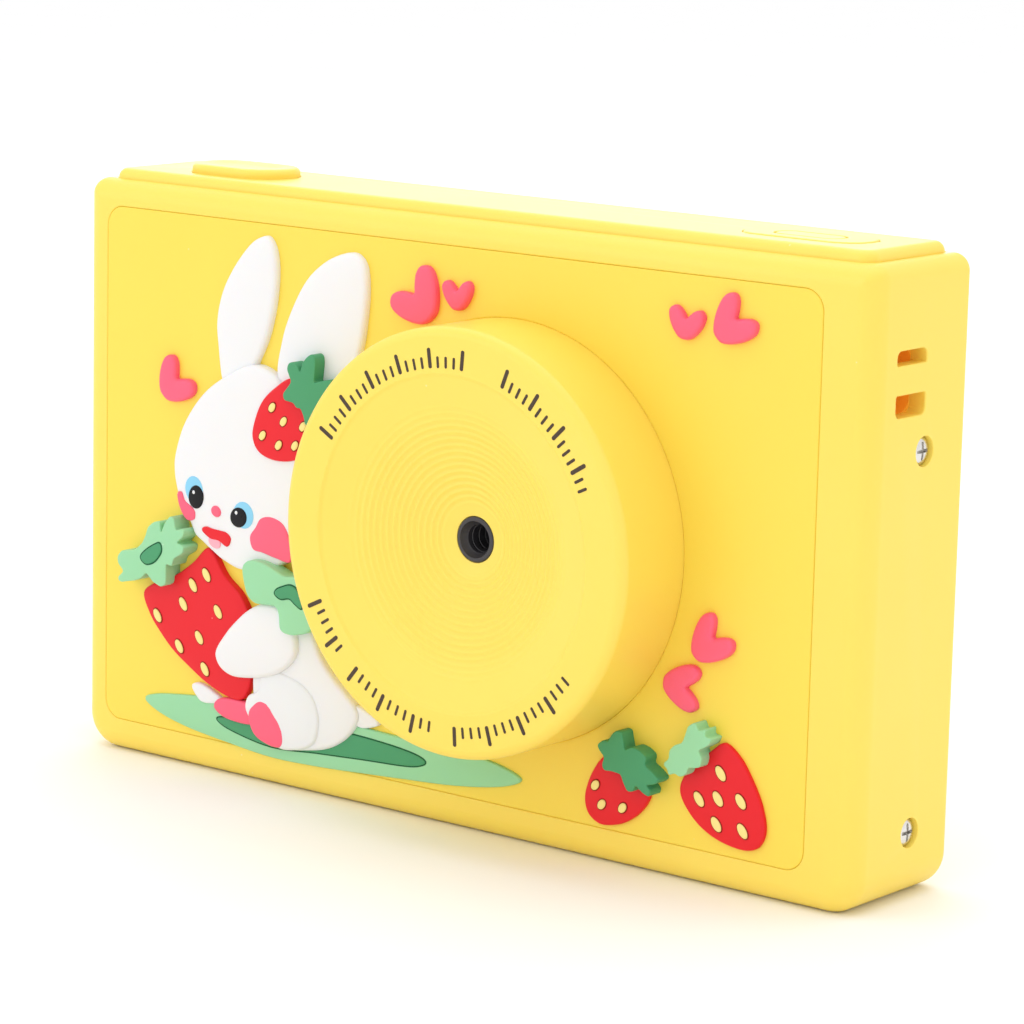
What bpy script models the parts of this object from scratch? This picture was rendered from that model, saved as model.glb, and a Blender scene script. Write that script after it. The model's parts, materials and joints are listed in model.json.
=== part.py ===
"""Children's compact digital camera, built as separate parts in one frame.

X runs along the width (to the right seen from the front), the front faces -Y and Z is up.
The origin is the middle of the underside. Lengths are in metres.
"""

import math

import bmesh
import bpy
from mathutils import Matrix, Vector

MM = 0.001

# Driving dimensions of the housing
BODY_WIDTH = 95.0 * MM
BODY_DEPTH = 15.5 * MM
BODY_HEIGHT = 58.5 * MM
UPPER_CORNER = 2.2 * MM
LOWER_CORNER = 3.6 * MM
FRONT_FILLET = 2.1 * MM
BACK_FILLET = 1.0 * MM
SIDE_WALL = 1.8 * MM
FRONT_WALL = 2.4 * MM
TOP_WALL = 2.6 * MM
GAP = 0.3 * MM

FRONT_Y = -BODY_DEPTH / 2
BACK_Y = BODY_DEPTH / 2
SIDE_X = BODY_WIDTH / 2
CAVITY_FRONT_Y = FRONT_Y + FRONT_WALL
CAVITY_TOP_Z = BODY_HEIGHT - TOP_WALL

# Soft front panel, let into the front wall
PANEL_WIDTH = 86.3 * MM
PANEL_HEIGHT = 52.5 * MM
PANEL_CENTRE = (-1.2 * MM, 29.7 * MM)
PANEL_CORNER = 2.0 * MM
PANEL_THICKNESS = 0.9 * MM
PANEL_SEAT_Y = FRONT_Y + PANEL_THICKNESS + GAP

# Lens ring and the optics behind it
LENS_CENTRE = (7.75 * MM, 29.8 * MM)
RING_RADIUS = 20.1 * MM
RING_FRONT_Y = -16.8 * MM
RING_ROUND = 1.2 * MM
RING_WALL = 2.0 * MM
DISH_RADIUS = 15.7 * MM
DISH_DEPTH = 4.0 * MM
HOOD_RADIUS = 2.4 * MM
HOOD_APERTURE = 1.4 * MM
BARREL_RADIUS = 3.2 * MM
BARREL_BORE = 1.6 * MM
BARREL_FRONT_Y = -9.0 * MM
FRONT_WALL_LENS_HOLE = 8.0 * MM

# Top plate and its two buttons
PLATE_SIZE = (91.0 * MM, 12.4 * MM)
PLATE_CENTRE_Y = 0.3 * MM
PLATE_CORNER = 1.5 * MM
PLATE_TOP_Z = 59.5 * MM
PLATE_THICKNESS = 2.0 * MM
PLATE_SEAT_Z = PLATE_TOP_Z - PLATE_THICKNESS - GAP
SHUTTER_X = -32.8 * MM
SHUTTER_SIZE = (11.8 * MM, 7.4 * MM)
SHUTTER_TOP_Z = 60.4 * MM
SHUTTER_TRAVEL = 0.8 * MM
POWER_X = 35.1 * MM
POWER_SIZE = (13.4 * MM, 5.8 * MM)
POWER_TOP_Z = PLATE_TOP_Z + 0.1 * MM
POWER_TRAVEL = 0.5 * MM
STEM_RADIUS = 2.0 * MM
COLLAR_RADIUS = 3.0 * MM
COLLAR_THICKNESS = 0.7 * MM
STEM_END_Z = 54.7 * MM

# Rear cover, screen and keys
COVER_THICKNESS = 1.6 * MM
COVER_INNER_Y = BACK_Y - COVER_THICKNESS
LUG_HEIGHT = 3.4 * MM
SCREEN_CENTRE = (10.7 * MM, 29.5 * MM)
WINDOW_SIZE = (60.0 * MM, 44.0 * MM)
WINDOW_THICKNESS = 0.9 * MM
SCREEN_OPENING = (54.0 * MM, 40.0 * MM)
PAD_CENTRE = (-30.8 * MM, 28.0 * MM)
PAD_INNER_RADIUS = 4.8 * MM
PAD_OUTER_RADIUS = 9.0 * MM
PAD_HALF_SPAN = math.radians(34)
OK_KEY_RADIUS = 3.2 * MM
KEY_PROUD = 0.6 * MM
KEY_FLANGE = 0.5 * MM
KEY_FLANGE_THICKNESS = 0.8 * MM

# Board, card and fasteners
BOARD_THICKNESS = 1.0 * MM
BOARD_FRONT_Y = -BOARD_THICKNESS / 2
BOARD_BACK_Y = BOARD_THICKNESS / 2
CARD_SIZE = (15.0 * MM, 0.8 * MM, 11.0 * MM)
CARD_Y = 1.7 * MM
CARD_Z = 20.0 * MM
USB_Y = -2.4 * MM
USB_Z = 33.2 * MM
SIDE_SCREWS = ((0.85 * MM, 41.4 * MM), (1.05 * MM, 6.5 * MM))
BOARD_SCREWS = ((-9.0 * MM, 8.5 * MM), (35.0 * MM, 8.5 * MM), (13.0 * MM, 46.0 * MM))
SCREW_HEAD_RADIUS = 1.35 * MM
SCREW_SHANK_RADIUS = 0.8 * MM
SCREW_HOLE_RADIUS = 1.1 * MM

# Wrist-strap slot in the right-hand side
STRAP_SLOT_Y = (-4.1 * MM, 0.6 * MM)
STRAP_SLOT_Z = (44.8 * MM, 50.75 * MM)
STRAP_BAR_Z = (46.9 * MM, 49.4 * MM)
STRAP_BAR_THICKNESS = 1.4 * MM
STRAP_SLOT_DEPTH = 3.2 * MM

AXES = {"X": Vector((1, 0, 0)), "Y": Vector((0, 1, 0)), "Z": Vector((0, 0, 1))}


# ---------------------------------------------------------------- materials


def finish(name, colour, roughness, metallic=0.0):
    """Make one Principled material."""
    material = bpy.data.materials.new(name)
    material.use_nodes = True
    shader = material.node_tree.nodes["Principled BSDF"]
    shader.inputs["Base Color"].default_value = (*colour, 1.0)
    shader.inputs["Roughness"].default_value = roughness
    shader.inputs["Metallic"].default_value = metallic
    return material


def make_finishes():
    """All finishes of the camera, by name."""
    return {
        "yellow_shell": finish("yellow_shell", (0.96, 0.74, 0.10), 0.45),
        "yellow_soft": finish("yellow_soft", (0.98, 0.78, 0.14), 0.55),
        "black_plastic": finish("black_plastic", (0.02, 0.02, 0.02), 0.4),
        "screen": finish("screen", (0.01, 0.01, 0.012), 0.1),
        "optical": finish("optical", (0.35, 0.42, 0.5), 0.05),
        "nickel": finish("nickel", (0.75, 0.74, 0.72), 0.25, 1.0),
        "green_board": finish("green_board", (0.02, 0.18, 0.06), 0.5),
        "silver_wrap": finish("silver_wrap", (0.6, 0.6, 0.62), 0.4, 0.6),
        "grey_rubber": finish("grey_rubber", (0.3, 0.3, 0.3), 0.7),
        "soft_white": finish("soft_white", (0.92, 0.91, 0.92), 0.5),
        "soft_pink": finish("soft_pink", (0.95, 0.16, 0.27), 0.5),
        "soft_red": finish("soft_red", (0.85, 0.03, 0.04), 0.5),
        "mint_green": finish("mint_green", (0.38, 0.72, 0.43), 0.5),
        "leaf_green": finish("leaf_green", (0.10, 0.38, 0.19), 0.5),
    }


# ---------------------------------------------------------------- outlines


def rounded_rectangle(width, height, radius, steps, centre=(0.0, 0.0), lower_radius=None):
    """Rectangle with round corners; a radius of half the short side gives a pill."""
    points = []
    for quarter in range(4):
        bend = radius if quarter < 2 or lower_radius is None else lower_radius
        angle = quarter * math.pi / 2
        corner_u = math.copysign(width / 2 - bend, math.cos(angle + math.pi / 4))
        corner_v = math.copysign(height / 2 - bend, math.sin(angle + math.pi / 4))
        for step in range(steps + 1):
            turn = angle + step * math.pi / 2 / steps
            arc = Vector((math.cos(turn), math.sin(turn))) * bend
            point = Vector(centre) + Vector((corner_u, corner_v)) + arc
            if not points or (point - points[-1]).length > 1e-6:
                points.append(point)
    if (points[0] - points[-1]).length < 1e-6:
        points.pop()
    return points


def pill(length, width, steps, centre=(0.0, 0.0)):
    """Two straight sides joined by half circles."""
    return rounded_rectangle(length, width, min(length, width) / 2, steps, centre)


def circle(radius, steps, centre=(0.0, 0.0)):
    """Regular outline of a round hole or disc."""
    turns = (2 * math.pi * step / steps for step in range(steps))
    return [Vector((centre[0] + radius * math.cos(t), centre[1] + radius * math.sin(t))) for t in turns]


def sector(inner, outer, half_span, middle, centre, grow=0.0, steps=5):
    """Piece of a ring, grown outwards all round by the given amount."""
    points = []
    for radius, order in ((outer + grow, 1), (inner - grow, -1)):
        reach = half_span + grow / radius
        for step in range(steps + 1):
            turn = middle + order * reach * (2 * step / steps - 1)
            points.append(Vector((centre[0] + radius * math.cos(turn), centre[1] + radius * math.sin(turn))))
    return points


def ellipse(centre, half_width, half_height, tilt, steps):
    """Ellipse turned by tilt degrees, sizes in millimetres."""
    turns = [2 * math.pi * step / steps for step in range(steps)]
    points = [(half_width * math.cos(turn), half_height * math.sin(turn)) for turn in turns]
    return turned_outline(points, centre, tilt)


def heart(centre, width, tilt, steps=18):
    """Heart with two full lobes, in millimetres, turned by tilt degrees."""
    points = []
    for step in range(steps):
        t = 2 * math.pi * (step + 0.5) / steps
        across = 16 * math.sin(t) ** 3
        along = 13 * math.cos(t) - 5 * math.cos(2 * t) - 2 * math.cos(3 * t) - math.cos(4 * t)
        points.append((across * width / 32, (along + 2.5) * width / 32))
    return turned_outline(points, centre, tilt)


def berry(centre, width, length, tilt, steps=16):
    """Strawberry outline, wide below its crown, with its tip down before it is turned."""
    fullness = 0.33
    points = []
    for step in range(steps):
        t = 2 * math.pi * step / steps
        points.append((width / 2 * math.sin(t) * (1 + fullness * math.cos(t)), length / 2 * math.cos(t)))
    return turned_outline(points, centre, tilt)


def crown(centre, outer, inner, lobes, stretch, tilt):
    """Leafy crown: tips and notches in turn round an ellipse."""
    points = []
    for step in range(2 * lobes):
        radius = inner if step % 2 else outer
        turn = math.pi * step / lobes
        points.append((radius * stretch * math.cos(turn), radius * math.sin(turn)))
    return turned_outline(points, centre, tilt)


def turned_outline(points, centre, tilt):
    """Turn an outline in millimetres by tilt degrees and place it, in metres."""
    cosine, sine = math.cos(math.radians(tilt)), math.sin(math.radians(tilt))
    return [
        Vector((centre[0] + u * cosine - v * sine, centre[1] + u * sine + v * cosine)) * MM
        for u, v in points
    ]


def smooth_outline(points, steps=2):
    """Closed curve through hand-placed points in millimetres."""
    knots = [Vector(point) * MM for point in points]
    count = len(knots)
    curve = []
    for i in range(count):
        before, start, end, after = (knots[(i + k) % count] for k in (-1, 0, 1, 2))
        for step in range(steps):
            t = step / steps
            curve.append(
                start
                + (end - before) * 0.5 * t
                + (before - 2.5 * start + 2 * end - 0.5 * after) * t * t
                + (-0.5 * before + 1.5 * start - 1.5 * end + 0.5 * after) * t * t * t
            )
    return curve


# ---------------------------------------------------------------- solids


def at(u, v, along, axis):
    """A point of an outline (u, v) at a distance along the axis that the outline faces."""
    return Vector({"X": (along, u, v), "Y": (u, along, v), "Z": (u, v, along)}[axis])


def prism(outline, low, high, axis):
    """Outline extruded between two levels."""
    shape = bmesh.new()
    face = shape.faces.new([shape.verts.new(at(u, v, low, axis)) for u, v in outline])
    grown = bmesh.ops.extrude_face_region(shape, geom=[face])["geom"]
    moved = [item for item in grown if isinstance(item, bmesh.types.BMVert)]
    bmesh.ops.translate(shape, vec=AXES[axis] * (high - low), verts=moved)
    bmesh.ops.recalc_face_normals(shape, faces=shape.faces)
    return shape


def box(low, high):
    """Plain block between two corners."""
    corners = ((low[0], low[2]), (high[0], low[2]), (high[0], high[2]), (low[0], high[2]))
    return prism([Vector(corner) for corner in corners], low[1], high[1], "Y")


def round_rim(shape, level, axis, width, segments):
    """Round the rim of the flat face that lies at this level."""
    index = "XYZ".index(axis)
    rim = [e for e in shape.edges if all(abs(v.co[index] - level) < 1e-7 for v in e.verts)]
    bmesh.ops.bevel(
        shape, geom=rim, offset=width, segments=segments, profile=0.5, affect="EDGES", clamp_overlap=True
    )
    bmesh.ops.recalc_face_normals(shape, faces=shape.faces)
    return shape


def turned(profile, axis, centre, segments):
    """Closed profile of (radius, distance along axis) spun round the axis."""
    shape = bmesh.new()
    outward = AXES["X" if axis == "Z" else "Z"]
    middle = Vector(centre)
    points = [shape.verts.new(middle + outward * radius + AXES[axis] * level) for radius, level in profile]
    lines = [
        shape.edges.new((points[i - 1], points[i]))
        for i in range(len(profile))
        if profile[i - 1][0] > 0.0 or profile[i][0] > 0.0
    ]
    bmesh.ops.spin(
        shape, geom=points + lines, cent=centre, axis=AXES[axis], angle=2 * math.pi,
        steps=segments, use_merge=True, use_duplicate=False,
    )
    bmesh.ops.remove_doubles(shape, verts=shape.verts, dist=1e-7)
    bmesh.ops.recalc_face_normals(shape, faces=shape.faces)
    return shape


def add(name, shape, material, origin=(0.0, 0.0, 0.0)):
    """Turn a bmesh in world coordinates into an object whose origin is the point given."""
    mesh = bpy.data.meshes.new(name)
    shape.to_mesh(mesh)
    shape.free()
    mesh.transform(Matrix.Translation(-Vector(origin)))
    mesh.shade_smooth()
    mesh.set_sharp_from_angle(angle=math.radians(32))
    obj = bpy.data.objects.new(name, mesh)
    obj.location = origin
    bpy.context.scene.collection.objects.link(obj)
    if material:
        mesh.materials.append(material)
    return obj


def combine(target, shape, label, operation):
    """Join a helper solid to a part, or cut it away, with a Boolean modifier."""
    helper = add(f"{target.name}_{label}", shape, None)
    helper.hide_render = True
    helper.display_type = "WIRE"
    modifier = target.modifiers.new(label, "BOOLEAN")
    modifier.operation = operation
    modifier.solver = "EXACT"
    modifier.object = helper


def cut(target, shape, label):
    """Cut a solid away from a part."""
    combine(target, shape, label, "DIFFERENCE")


def join(target, shape, label):
    """Join a solid to a part."""
    combine(target, shape, label, "UNION")


# ---------------------------------------------------------------- housing


def strap_slot(shell):
    """Slot in the right wall whose two mouths meet behind a bar for the strap."""
    middle_y = sum(STRAP_SLOT_Y) / 2
    width = STRAP_SLOT_Y[1] - STRAP_SLOT_Y[0]
    back_x = SIDE_X - STRAP_SLOT_DEPTH
    margin = 1.2 * MM
    join(
        shell,
        box(
            (back_x - margin, CAVITY_FRONT_Y - margin, STRAP_SLOT_Z[0] - margin),
            (SIDE_X - SIDE_WALL / 2, STRAP_SLOT_Y[1] + margin, STRAP_SLOT_Z[1] + margin),
        ),
        "strap_pocket_wall",
    )
    height = STRAP_SLOT_Z[1] - STRAP_SLOT_Z[0]
    outline = rounded_rectangle(width, height, 1.6 * MM, 4, (middle_y, sum(STRAP_SLOT_Z) / 2))
    cut(shell, prism(outline, back_x, SIDE_X - STRAP_BAR_THICKNESS, "X"), "strap_tunnel")
    for label, low, high in (
        ("lower", STRAP_SLOT_Z[0], STRAP_BAR_Z[0]), ("upper", STRAP_BAR_Z[1], STRAP_SLOT_Z[1])
    ):
        mouth = rounded_rectangle(width, high - low, 0.7 * MM, 3, (middle_y, (low + high) / 2))
        cut(shell, prism(mouth, back_x + 0.4 * MM, SIDE_X + 1 * MM, "X"), f"strap_mouth_{label}")


def main_shell(finishes):
    """One-piece front, sides, top and bottom, open at the back."""
    outline = rounded_rectangle(
        BODY_WIDTH, BODY_HEIGHT, UPPER_CORNER, 5, (0.0, BODY_HEIGHT / 2), LOWER_CORNER
    )
    shape = prism(outline, FRONT_Y, BACK_Y, "Y")
    round_rim(shape, FRONT_Y, "Y", FRONT_FILLET, 4)
    round_rim(shape, BACK_Y, "Y", BACK_FILLET, 3)
    shell = add("main_shell", shape, finishes["yellow_shell"])

    cavity_height = CAVITY_TOP_Z - SIDE_WALL
    cavity = rounded_rectangle(
        BODY_WIDTH - 2 * SIDE_WALL, cavity_height, 2.5 * MM, 3, (0.0, SIDE_WALL + cavity_height / 2)
    )
    cut(shell, prism(cavity, CAVITY_FRONT_Y, BACK_Y + 1 * MM, "Y"), "cavity")

    for number, place in enumerate(BOARD_SCREWS, 1):
        boss = prism(circle(2.4 * MM, 12, place), CAVITY_FRONT_Y - 0.4 * MM, BOARD_FRONT_Y - GAP, "Y")
        join(shell, boss, f"boss_{number}")
        hole = prism(circle(SCREW_HOLE_RADIUS, 8, place), CAVITY_FRONT_Y + 0.2 * MM, 0.0, "Y")
        cut(shell, hole, f"boss_hole_{number}")
    strap_slot(shell)

    seat = rounded_rectangle(
        PANEL_WIDTH + 2 * GAP, PANEL_HEIGHT + 2 * GAP, PANEL_CORNER + GAP, 4, PANEL_CENTRE
    )
    cut(shell, prism(seat, FRONT_Y - 1 * MM, PANEL_SEAT_Y, "Y"), "panel_seat")
    lens_hole = circle(FRONT_WALL_LENS_HOLE, 24, LENS_CENTRE)
    cut(shell, prism(lens_hole, FRONT_Y - 0.5 * MM, CAVITY_FRONT_Y + 1 * MM, "Y"), "lens_hole")

    plate_seat = rounded_rectangle(
        PLATE_SIZE[0] + 2 * GAP, PLATE_SIZE[1] + 2 * GAP, PLATE_CORNER + GAP, 4, (0.0, PLATE_CENTRE_Y)
    )
    cut(shell, prism(plate_seat, PLATE_SEAT_Z, PLATE_TOP_Z, "Z"), "plate_seat")
    for label, centre_x in (("shutter", SHUTTER_X), ("power", POWER_X)):
        hole = circle(STEM_RADIUS + GAP, 12, (centre_x, 0.0))
        cut(shell, prism(hole, CAVITY_TOP_Z - 1 * MM, PLATE_TOP_Z - 1 * MM, "Z"), f"{label}_stem_hole")

    for side in (-1, 1):
        for number, place in enumerate(SIDE_SCREWS, 1):
            name = f"{'right' if side > 0 else 'left'}_screw_hole_{number}"
            levels = sorted((side * (SIDE_X - 3 * MM), side * (SIDE_X + 1 * MM)))
            cut(shell, prism(circle(SCREW_HOLE_RADIUS, 10, place), *levels, "X"), name)
            levels = sorted((side * (SIDE_X - 0.7 * MM), side * (SIDE_X + 1.2 * MM)))
            cut(shell, prism(circle(SCREW_HEAD_RADIUS + GAP, 16, place), *levels, "X"), f"{name}_seat")

    wall = (-SIDE_X - 1 * MM, -SIDE_X + 3 * MM)
    usb_mouth = pill(3.8 * MM, 9.6 * MM, 4, (USB_Y, USB_Z))
    cut(shell, prism(usb_mouth, *wall, "X"), "usb_mouth")
    card_mouth = rounded_rectangle(1.4 * MM, CARD_SIZE[2] + 2 * GAP, 0.5 * MM, 2, (CARD_Y, CARD_Z))
    cut(shell, prism(card_mouth, *wall, "X"), "card_mouth")
    cut(shell, prism(circle(0.6 * MM, 8, (20 * MM, -2 * MM)), -1 * MM, 3 * MM, "Z"), "microphone_hole")


def top_plate(finishes):
    """Raised plate along the top, with openings for the two buttons."""
    outline = rounded_rectangle(*PLATE_SIZE, PLATE_CORNER, 4, (0.0, PLATE_CENTRE_Y))
    shape = prism(outline, PLATE_TOP_Z - PLATE_THICKNESS, PLATE_TOP_Z, "Z")
    round_rim(shape, PLATE_TOP_Z, "Z", 0.5 * MM, 2)
    plate = add("top_plate", shape, finishes["yellow_shell"])
    for label, size, centre_x in (("shutter", SHUTTER_SIZE, SHUTTER_X), ("power", POWER_SIZE, POWER_X)):
        opening = pill(size[0] + 2 * GAP, size[1] + 2 * GAP, 8, (centre_x, 0.0))
        cut(plate, prism(opening, PLATE_TOP_Z - 3 * MM, PLATE_TOP_Z + 1 * MM, "Z"), f"{label}_opening")


def top_button(name, finishes, centre_x, size, top_z, travel, rim):
    """Pill-shaped button on a round stem with a collar that keeps it in the shell.

    At rest its underside stands clear of the seat by its travel and a gap.
    """
    under_z = PLATE_SEAT_Z + GAP + travel
    shape = prism(pill(*size, 8, (centre_x, 0.0)), under_z, top_z, "Z")
    round_rim(shape, top_z, "Z", rim, 2)
    button = add(name, shape, finishes["yellow_shell"], origin=(centre_x, 0.0, top_z))
    stem = [
        (0.0, under_z + 0.6 * MM), (STEM_RADIUS, under_z + 0.6 * MM),
        (STEM_RADIUS, STEM_END_Z + COLLAR_THICKNESS), (COLLAR_RADIUS, STEM_END_Z + COLLAR_THICKNESS),
        (COLLAR_RADIUS, STEM_END_Z), (0.0, STEM_END_Z),
    ]
    join(button, turned(stem, "Z", (centre_x, 0.0, 0.0), 12), "stem")


def rear_cover(finishes):
    """Back plate with screen and key openings, and four lugs that the side screws hold."""
    low_z, high_z = SIDE_WALL + GAP, CAVITY_TOP_Z - GAP
    outline = rounded_rectangle(
        BODY_WIDTH - 2 * (SIDE_WALL + GAP), high_z - low_z, 2.2 * MM, 3, (0.0, (low_z + high_z) / 2)
    )
    cover = add("rear_cover", prism(outline, COVER_INNER_Y, BACK_Y, "Y"), finishes["yellow_shell"])
    for side in (-1, 1):
        for number, (screw_y, screw_z) in enumerate(SIDE_SCREWS, 1):
            name = f"{'right' if side > 0 else 'left'}_lug_{number}"
            inner, outer = sorted((side * 41.2 * MM, side * 45.4 * MM))
            half = LUG_HEIGHT / 2
            lug = box((inner, -2.2 * MM, screw_z - half), (outer, BACK_Y - 0.6 * MM, screw_z + half))
            join(cover, lug, name)
            levels = sorted((side * 41.9 * MM, side * 47.0 * MM))
            cut(cover, prism(circle(SCREW_HOLE_RADIUS, 8, (screw_y, screw_z)), *levels, "X"), f"{name}_hole")
    seat = rounded_rectangle(WINDOW_SIZE[0] + 2 * GAP, WINDOW_SIZE[1] + 2 * GAP, 2.3 * MM, 3, SCREEN_CENTRE)
    cut(cover, prism(seat, BACK_Y - WINDOW_THICKNESS - GAP, BACK_Y + 1 * MM, "Y"), "window_seat")
    opening = rounded_rectangle(*SCREEN_OPENING, 1.0 * MM, 2, SCREEN_CENTRE)
    cut(cover, prism(opening, COVER_INNER_Y - 1 * MM, BACK_Y, "Y"), "screen_opening")
    for name, make_outline in KEYS.items():
        hole = prism(make_outline(GAP), COVER_INNER_Y - 1 * MM, BACK_Y + 1 * MM, "Y")
        cut(cover, hole, f"{name}_hole")
    for number in range(5):
        slit = pill(0.9 * MM, 4.4 * MM, 3, ((-37.5 + 2.4 * number) * MM, 6.7 * MM))
        cut(cover, prism(slit, COVER_INNER_Y - 1 * MM, BACK_Y + 1 * MM, "Y"), f"speaker_slit_{number + 1}")


def pad_key(quarter):
    """Outline of one arrow key of the ring, grown by an amount."""
    middle = quarter * math.pi / 2
    return lambda grow: sector(PAD_INNER_RADIUS, PAD_OUTER_RADIUS, PAD_HALF_SPAN, middle, PAD_CENTRE, grow)


def pill_key(centre_x, centre_z, length, width):
    """Outline of a pill-shaped key, grown by an amount."""
    centre = (centre_x * MM, centre_z * MM)
    return lambda grow: pill(length * MM + 2 * grow, width * MM + 2 * grow, 4, centre)


KEYS = {
    "key_up": pad_key(1),
    "key_down": pad_key(3),
    "key_left": pad_key(0),
    "key_right": pad_key(2),
    "key_ok": lambda grow: circle(OK_KEY_RADIUS + grow, 16, PAD_CENTRE),
    "key_menu": pill_key(-36.0, 45.5, 7.0, 4.0),
    "key_mode": pill_key(-25.6, 45.5, 7.0, 4.0),
    "key_play": pill_key(-30.8, 14.3, 7.0, 3.6),
}


def rear_keys(finishes):
    """Keys that stand through the rear cover, each kept in by a flange behind it."""
    flange_back = COVER_INNER_Y - GAP
    for name, make_outline in KEYS.items():
        outline = make_outline(0.0)
        middle = sum(outline, Vector((0.0, 0.0))) / len(outline)
        face_y = BACK_Y + KEY_PROUD
        shape = prism(outline, flange_back - KEY_FLANGE_THICKNESS / 2, face_y, "Y")
        round_rim(shape, face_y, "Y", 0.4 * MM, 2)
        key = add(name, shape, finishes["yellow_soft"], origin=(middle.x, face_y, middle.y))
        flange = prism(make_outline(KEY_FLANGE), flange_back - KEY_FLANGE_THICKNESS, flange_back, "Y")
        join(key, flange, "flange")


# ---------------------------------------------------------------- front


def front_panel(finishes):
    """Soft inlay flush with the front, with a round hole for the lens ring."""
    outline = rounded_rectangle(PANEL_WIDTH, PANEL_HEIGHT, PANEL_CORNER, 4, PANEL_CENTRE)
    shape = prism(outline, FRONT_Y, FRONT_Y + PANEL_THICKNESS, "Y")
    round_rim(shape, FRONT_Y, "Y", 0.25 * MM, 1)
    panel = add("front_panel", shape, finishes["yellow_soft"])
    hole = circle(RING_RADIUS + GAP, 48, LENS_CENTRE)
    cut(panel, prism(hole, FRONT_Y - 1 * MM, PANEL_SEAT_Y + 1 * MM, "Y"), "ring_hole")


def lens_parts(finishes):
    """Lens ring, hood, barrel, glass, holder and sensor on the lens axis."""
    centre = (LENS_CENTRE[0], 0.0, LENS_CENTRE[1])
    base_y = PANEL_SEAT_Y - GAP
    dish_y = RING_FRONT_Y + DISH_DEPTH
    hole = HOOD_RADIUS + GAP
    inner_front = RING_FRONT_Y + RING_WALL
    rim = [
        (
            RING_RADIUS - RING_ROUND + RING_ROUND * math.cos(step * math.pi / 8),
            RING_FRONT_Y + RING_ROUND - RING_ROUND * math.sin(step * math.pi / 8),
        )
        for step in range(5)
    ]
    profile = [
        (RING_RADIUS, base_y), *rim, (DISH_RADIUS, RING_FRONT_Y), (hole, dish_y),
        (hole, dish_y + 1.5 * MM), (DISH_RADIUS - 1 * MM, inner_front + 0.3 * MM),
        (RING_RADIUS - RING_WALL, inner_front + 0.3 * MM), (RING_RADIUS - RING_WALL, base_y),
    ]
    add("lens_ring", turned(profile, "Y", centre, 48), finishes["yellow_shell"])

    flange_y = dish_y + 1.5 * MM + GAP
    hood = [
        (HOOD_APERTURE, dish_y - 0.1 * MM), (HOOD_RADIUS, dish_y - 0.1 * MM), (HOOD_RADIUS, flange_y),
        (HOOD_RADIUS + 1.2 * MM, flange_y), (HOOD_RADIUS + 1.2 * MM, flange_y + 0.8 * MM),
        (HOOD_RADIUS, flange_y + 0.8 * MM), (HOOD_RADIUS, BARREL_FRONT_Y - GAP),
        (1.9 * MM, BARREL_FRONT_Y - GAP), (HOOD_APERTURE, dish_y + 1.2 * MM),
    ]
    add("lens_hood", turned(hood, "Y", centre, 24), finishes["black_plastic"])

    barrel = [
        (BARREL_BORE, BARREL_FRONT_Y), (BARREL_RADIUS, BARREL_FRONT_Y),
        (BARREL_RADIUS, -2.9 * MM), (BARREL_BORE, -2.9 * MM),
    ]
    add("lens_barrel", turned(barrel, "Y", centre, 20), finishes["black_plastic"])
    glass_radius = BARREL_BORE - GAP
    glass = [
        (0.0, -8.7 * MM), (glass_radius * 0.6, -8.55 * MM), (glass_radius, -8.2 * MM),
        (glass_radius, -7.7 * MM), (0.0, -7.4 * MM),
    ]
    add("lens_element", turned(glass, "Y", centre, 16), finishes["optical"])

    half = 4.2 * MM
    holder = add(
        "lens_holder",
        box(
            (centre[0] - half, CAVITY_FRONT_Y + 0.35 * MM, centre[2] - half),
            (centre[0] + half, BOARD_FRONT_Y - GAP, centre[2] + half),
        ),
        finishes["black_plastic"],
    )
    cut(holder, prism(circle(BARREL_RADIUS + GAP, 20, LENS_CENTRE), -6 * MM, 1 * MM, "Y"), "bore")
    half = 2.3 * MM
    low = (centre[0] - half, -1.6 * MM, centre[2] - half)
    high = (centre[0] + half, BOARD_FRONT_Y - GAP, centre[2] + half)
    add("image_sensor", box(low, high), finishes["optical"])


# ---------------------------------------------------------------- fasteners


def cross_screw(name, head_centre, axis, side, length, material):
    """Pan-head screw with a cross recess; its head faces along the axis times side."""
    head_height = 0.8 * MM
    outer = head_centre["XYZ".index(axis)]
    under = outer - side * head_height
    profile = [
        (0.0, outer), (SCREW_HEAD_RADIUS * 0.7, outer), (SCREW_HEAD_RADIUS, outer - side * 0.35 * MM),
        (SCREW_HEAD_RADIUS, under), (SCREW_SHANK_RADIUS, under),
        (SCREW_SHANK_RADIUS, under - side * length), (0.0, under - side * length),
    ]
    middle = Vector(head_centre)
    middle["XYZ".index(axis)] = 0.0
    screw = add(name, turned(profile, axis, middle, 12), material, origin=head_centre)
    arm, half = 0.75 * MM, 0.16 * MM
    plus = [
        (arm, -half), (arm, half), (half, half), (half, arm), (-half, arm), (-half, half),
        (-arm, half), (-arm, -half), (-half, -half), (-half, -arm), (half, -arm), (half, -half),
    ]
    flat = [head_centre[i] for i in range(3) if "XYZ"[i] != axis]
    levels = sorted((outer - side * 0.45 * MM, outer + side * 0.5 * MM))
    cut(screw, prism([Vector((flat[0] + u, flat[1] + v)) for u, v in plus], *levels, axis), "recess")


def fasteners(finishes):
    """Four side screws through the shell into the rear cover, three through the board."""
    for side, word in ((-1, "left"), (1, "right")):
        for (screw_y, screw_z), height in zip(SIDE_SCREWS, ("upper", "lower")):
            head = (side * (SIDE_X + 0.4 * MM), screw_y, screw_z)
            cross_screw(f"side_screw_{word}_{height}", head, "X", side, 4.8 * MM, finishes["nickel"])
    for number, (screw_x, screw_z) in enumerate(BOARD_SCREWS, 1):
        head = (screw_x, BOARD_BACK_Y + GAP + 0.8 * MM, screw_z)
        cross_screw(f"board_screw_{number}", head, "Y", 1, 4.6 * MM, finishes["nickel"])


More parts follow.
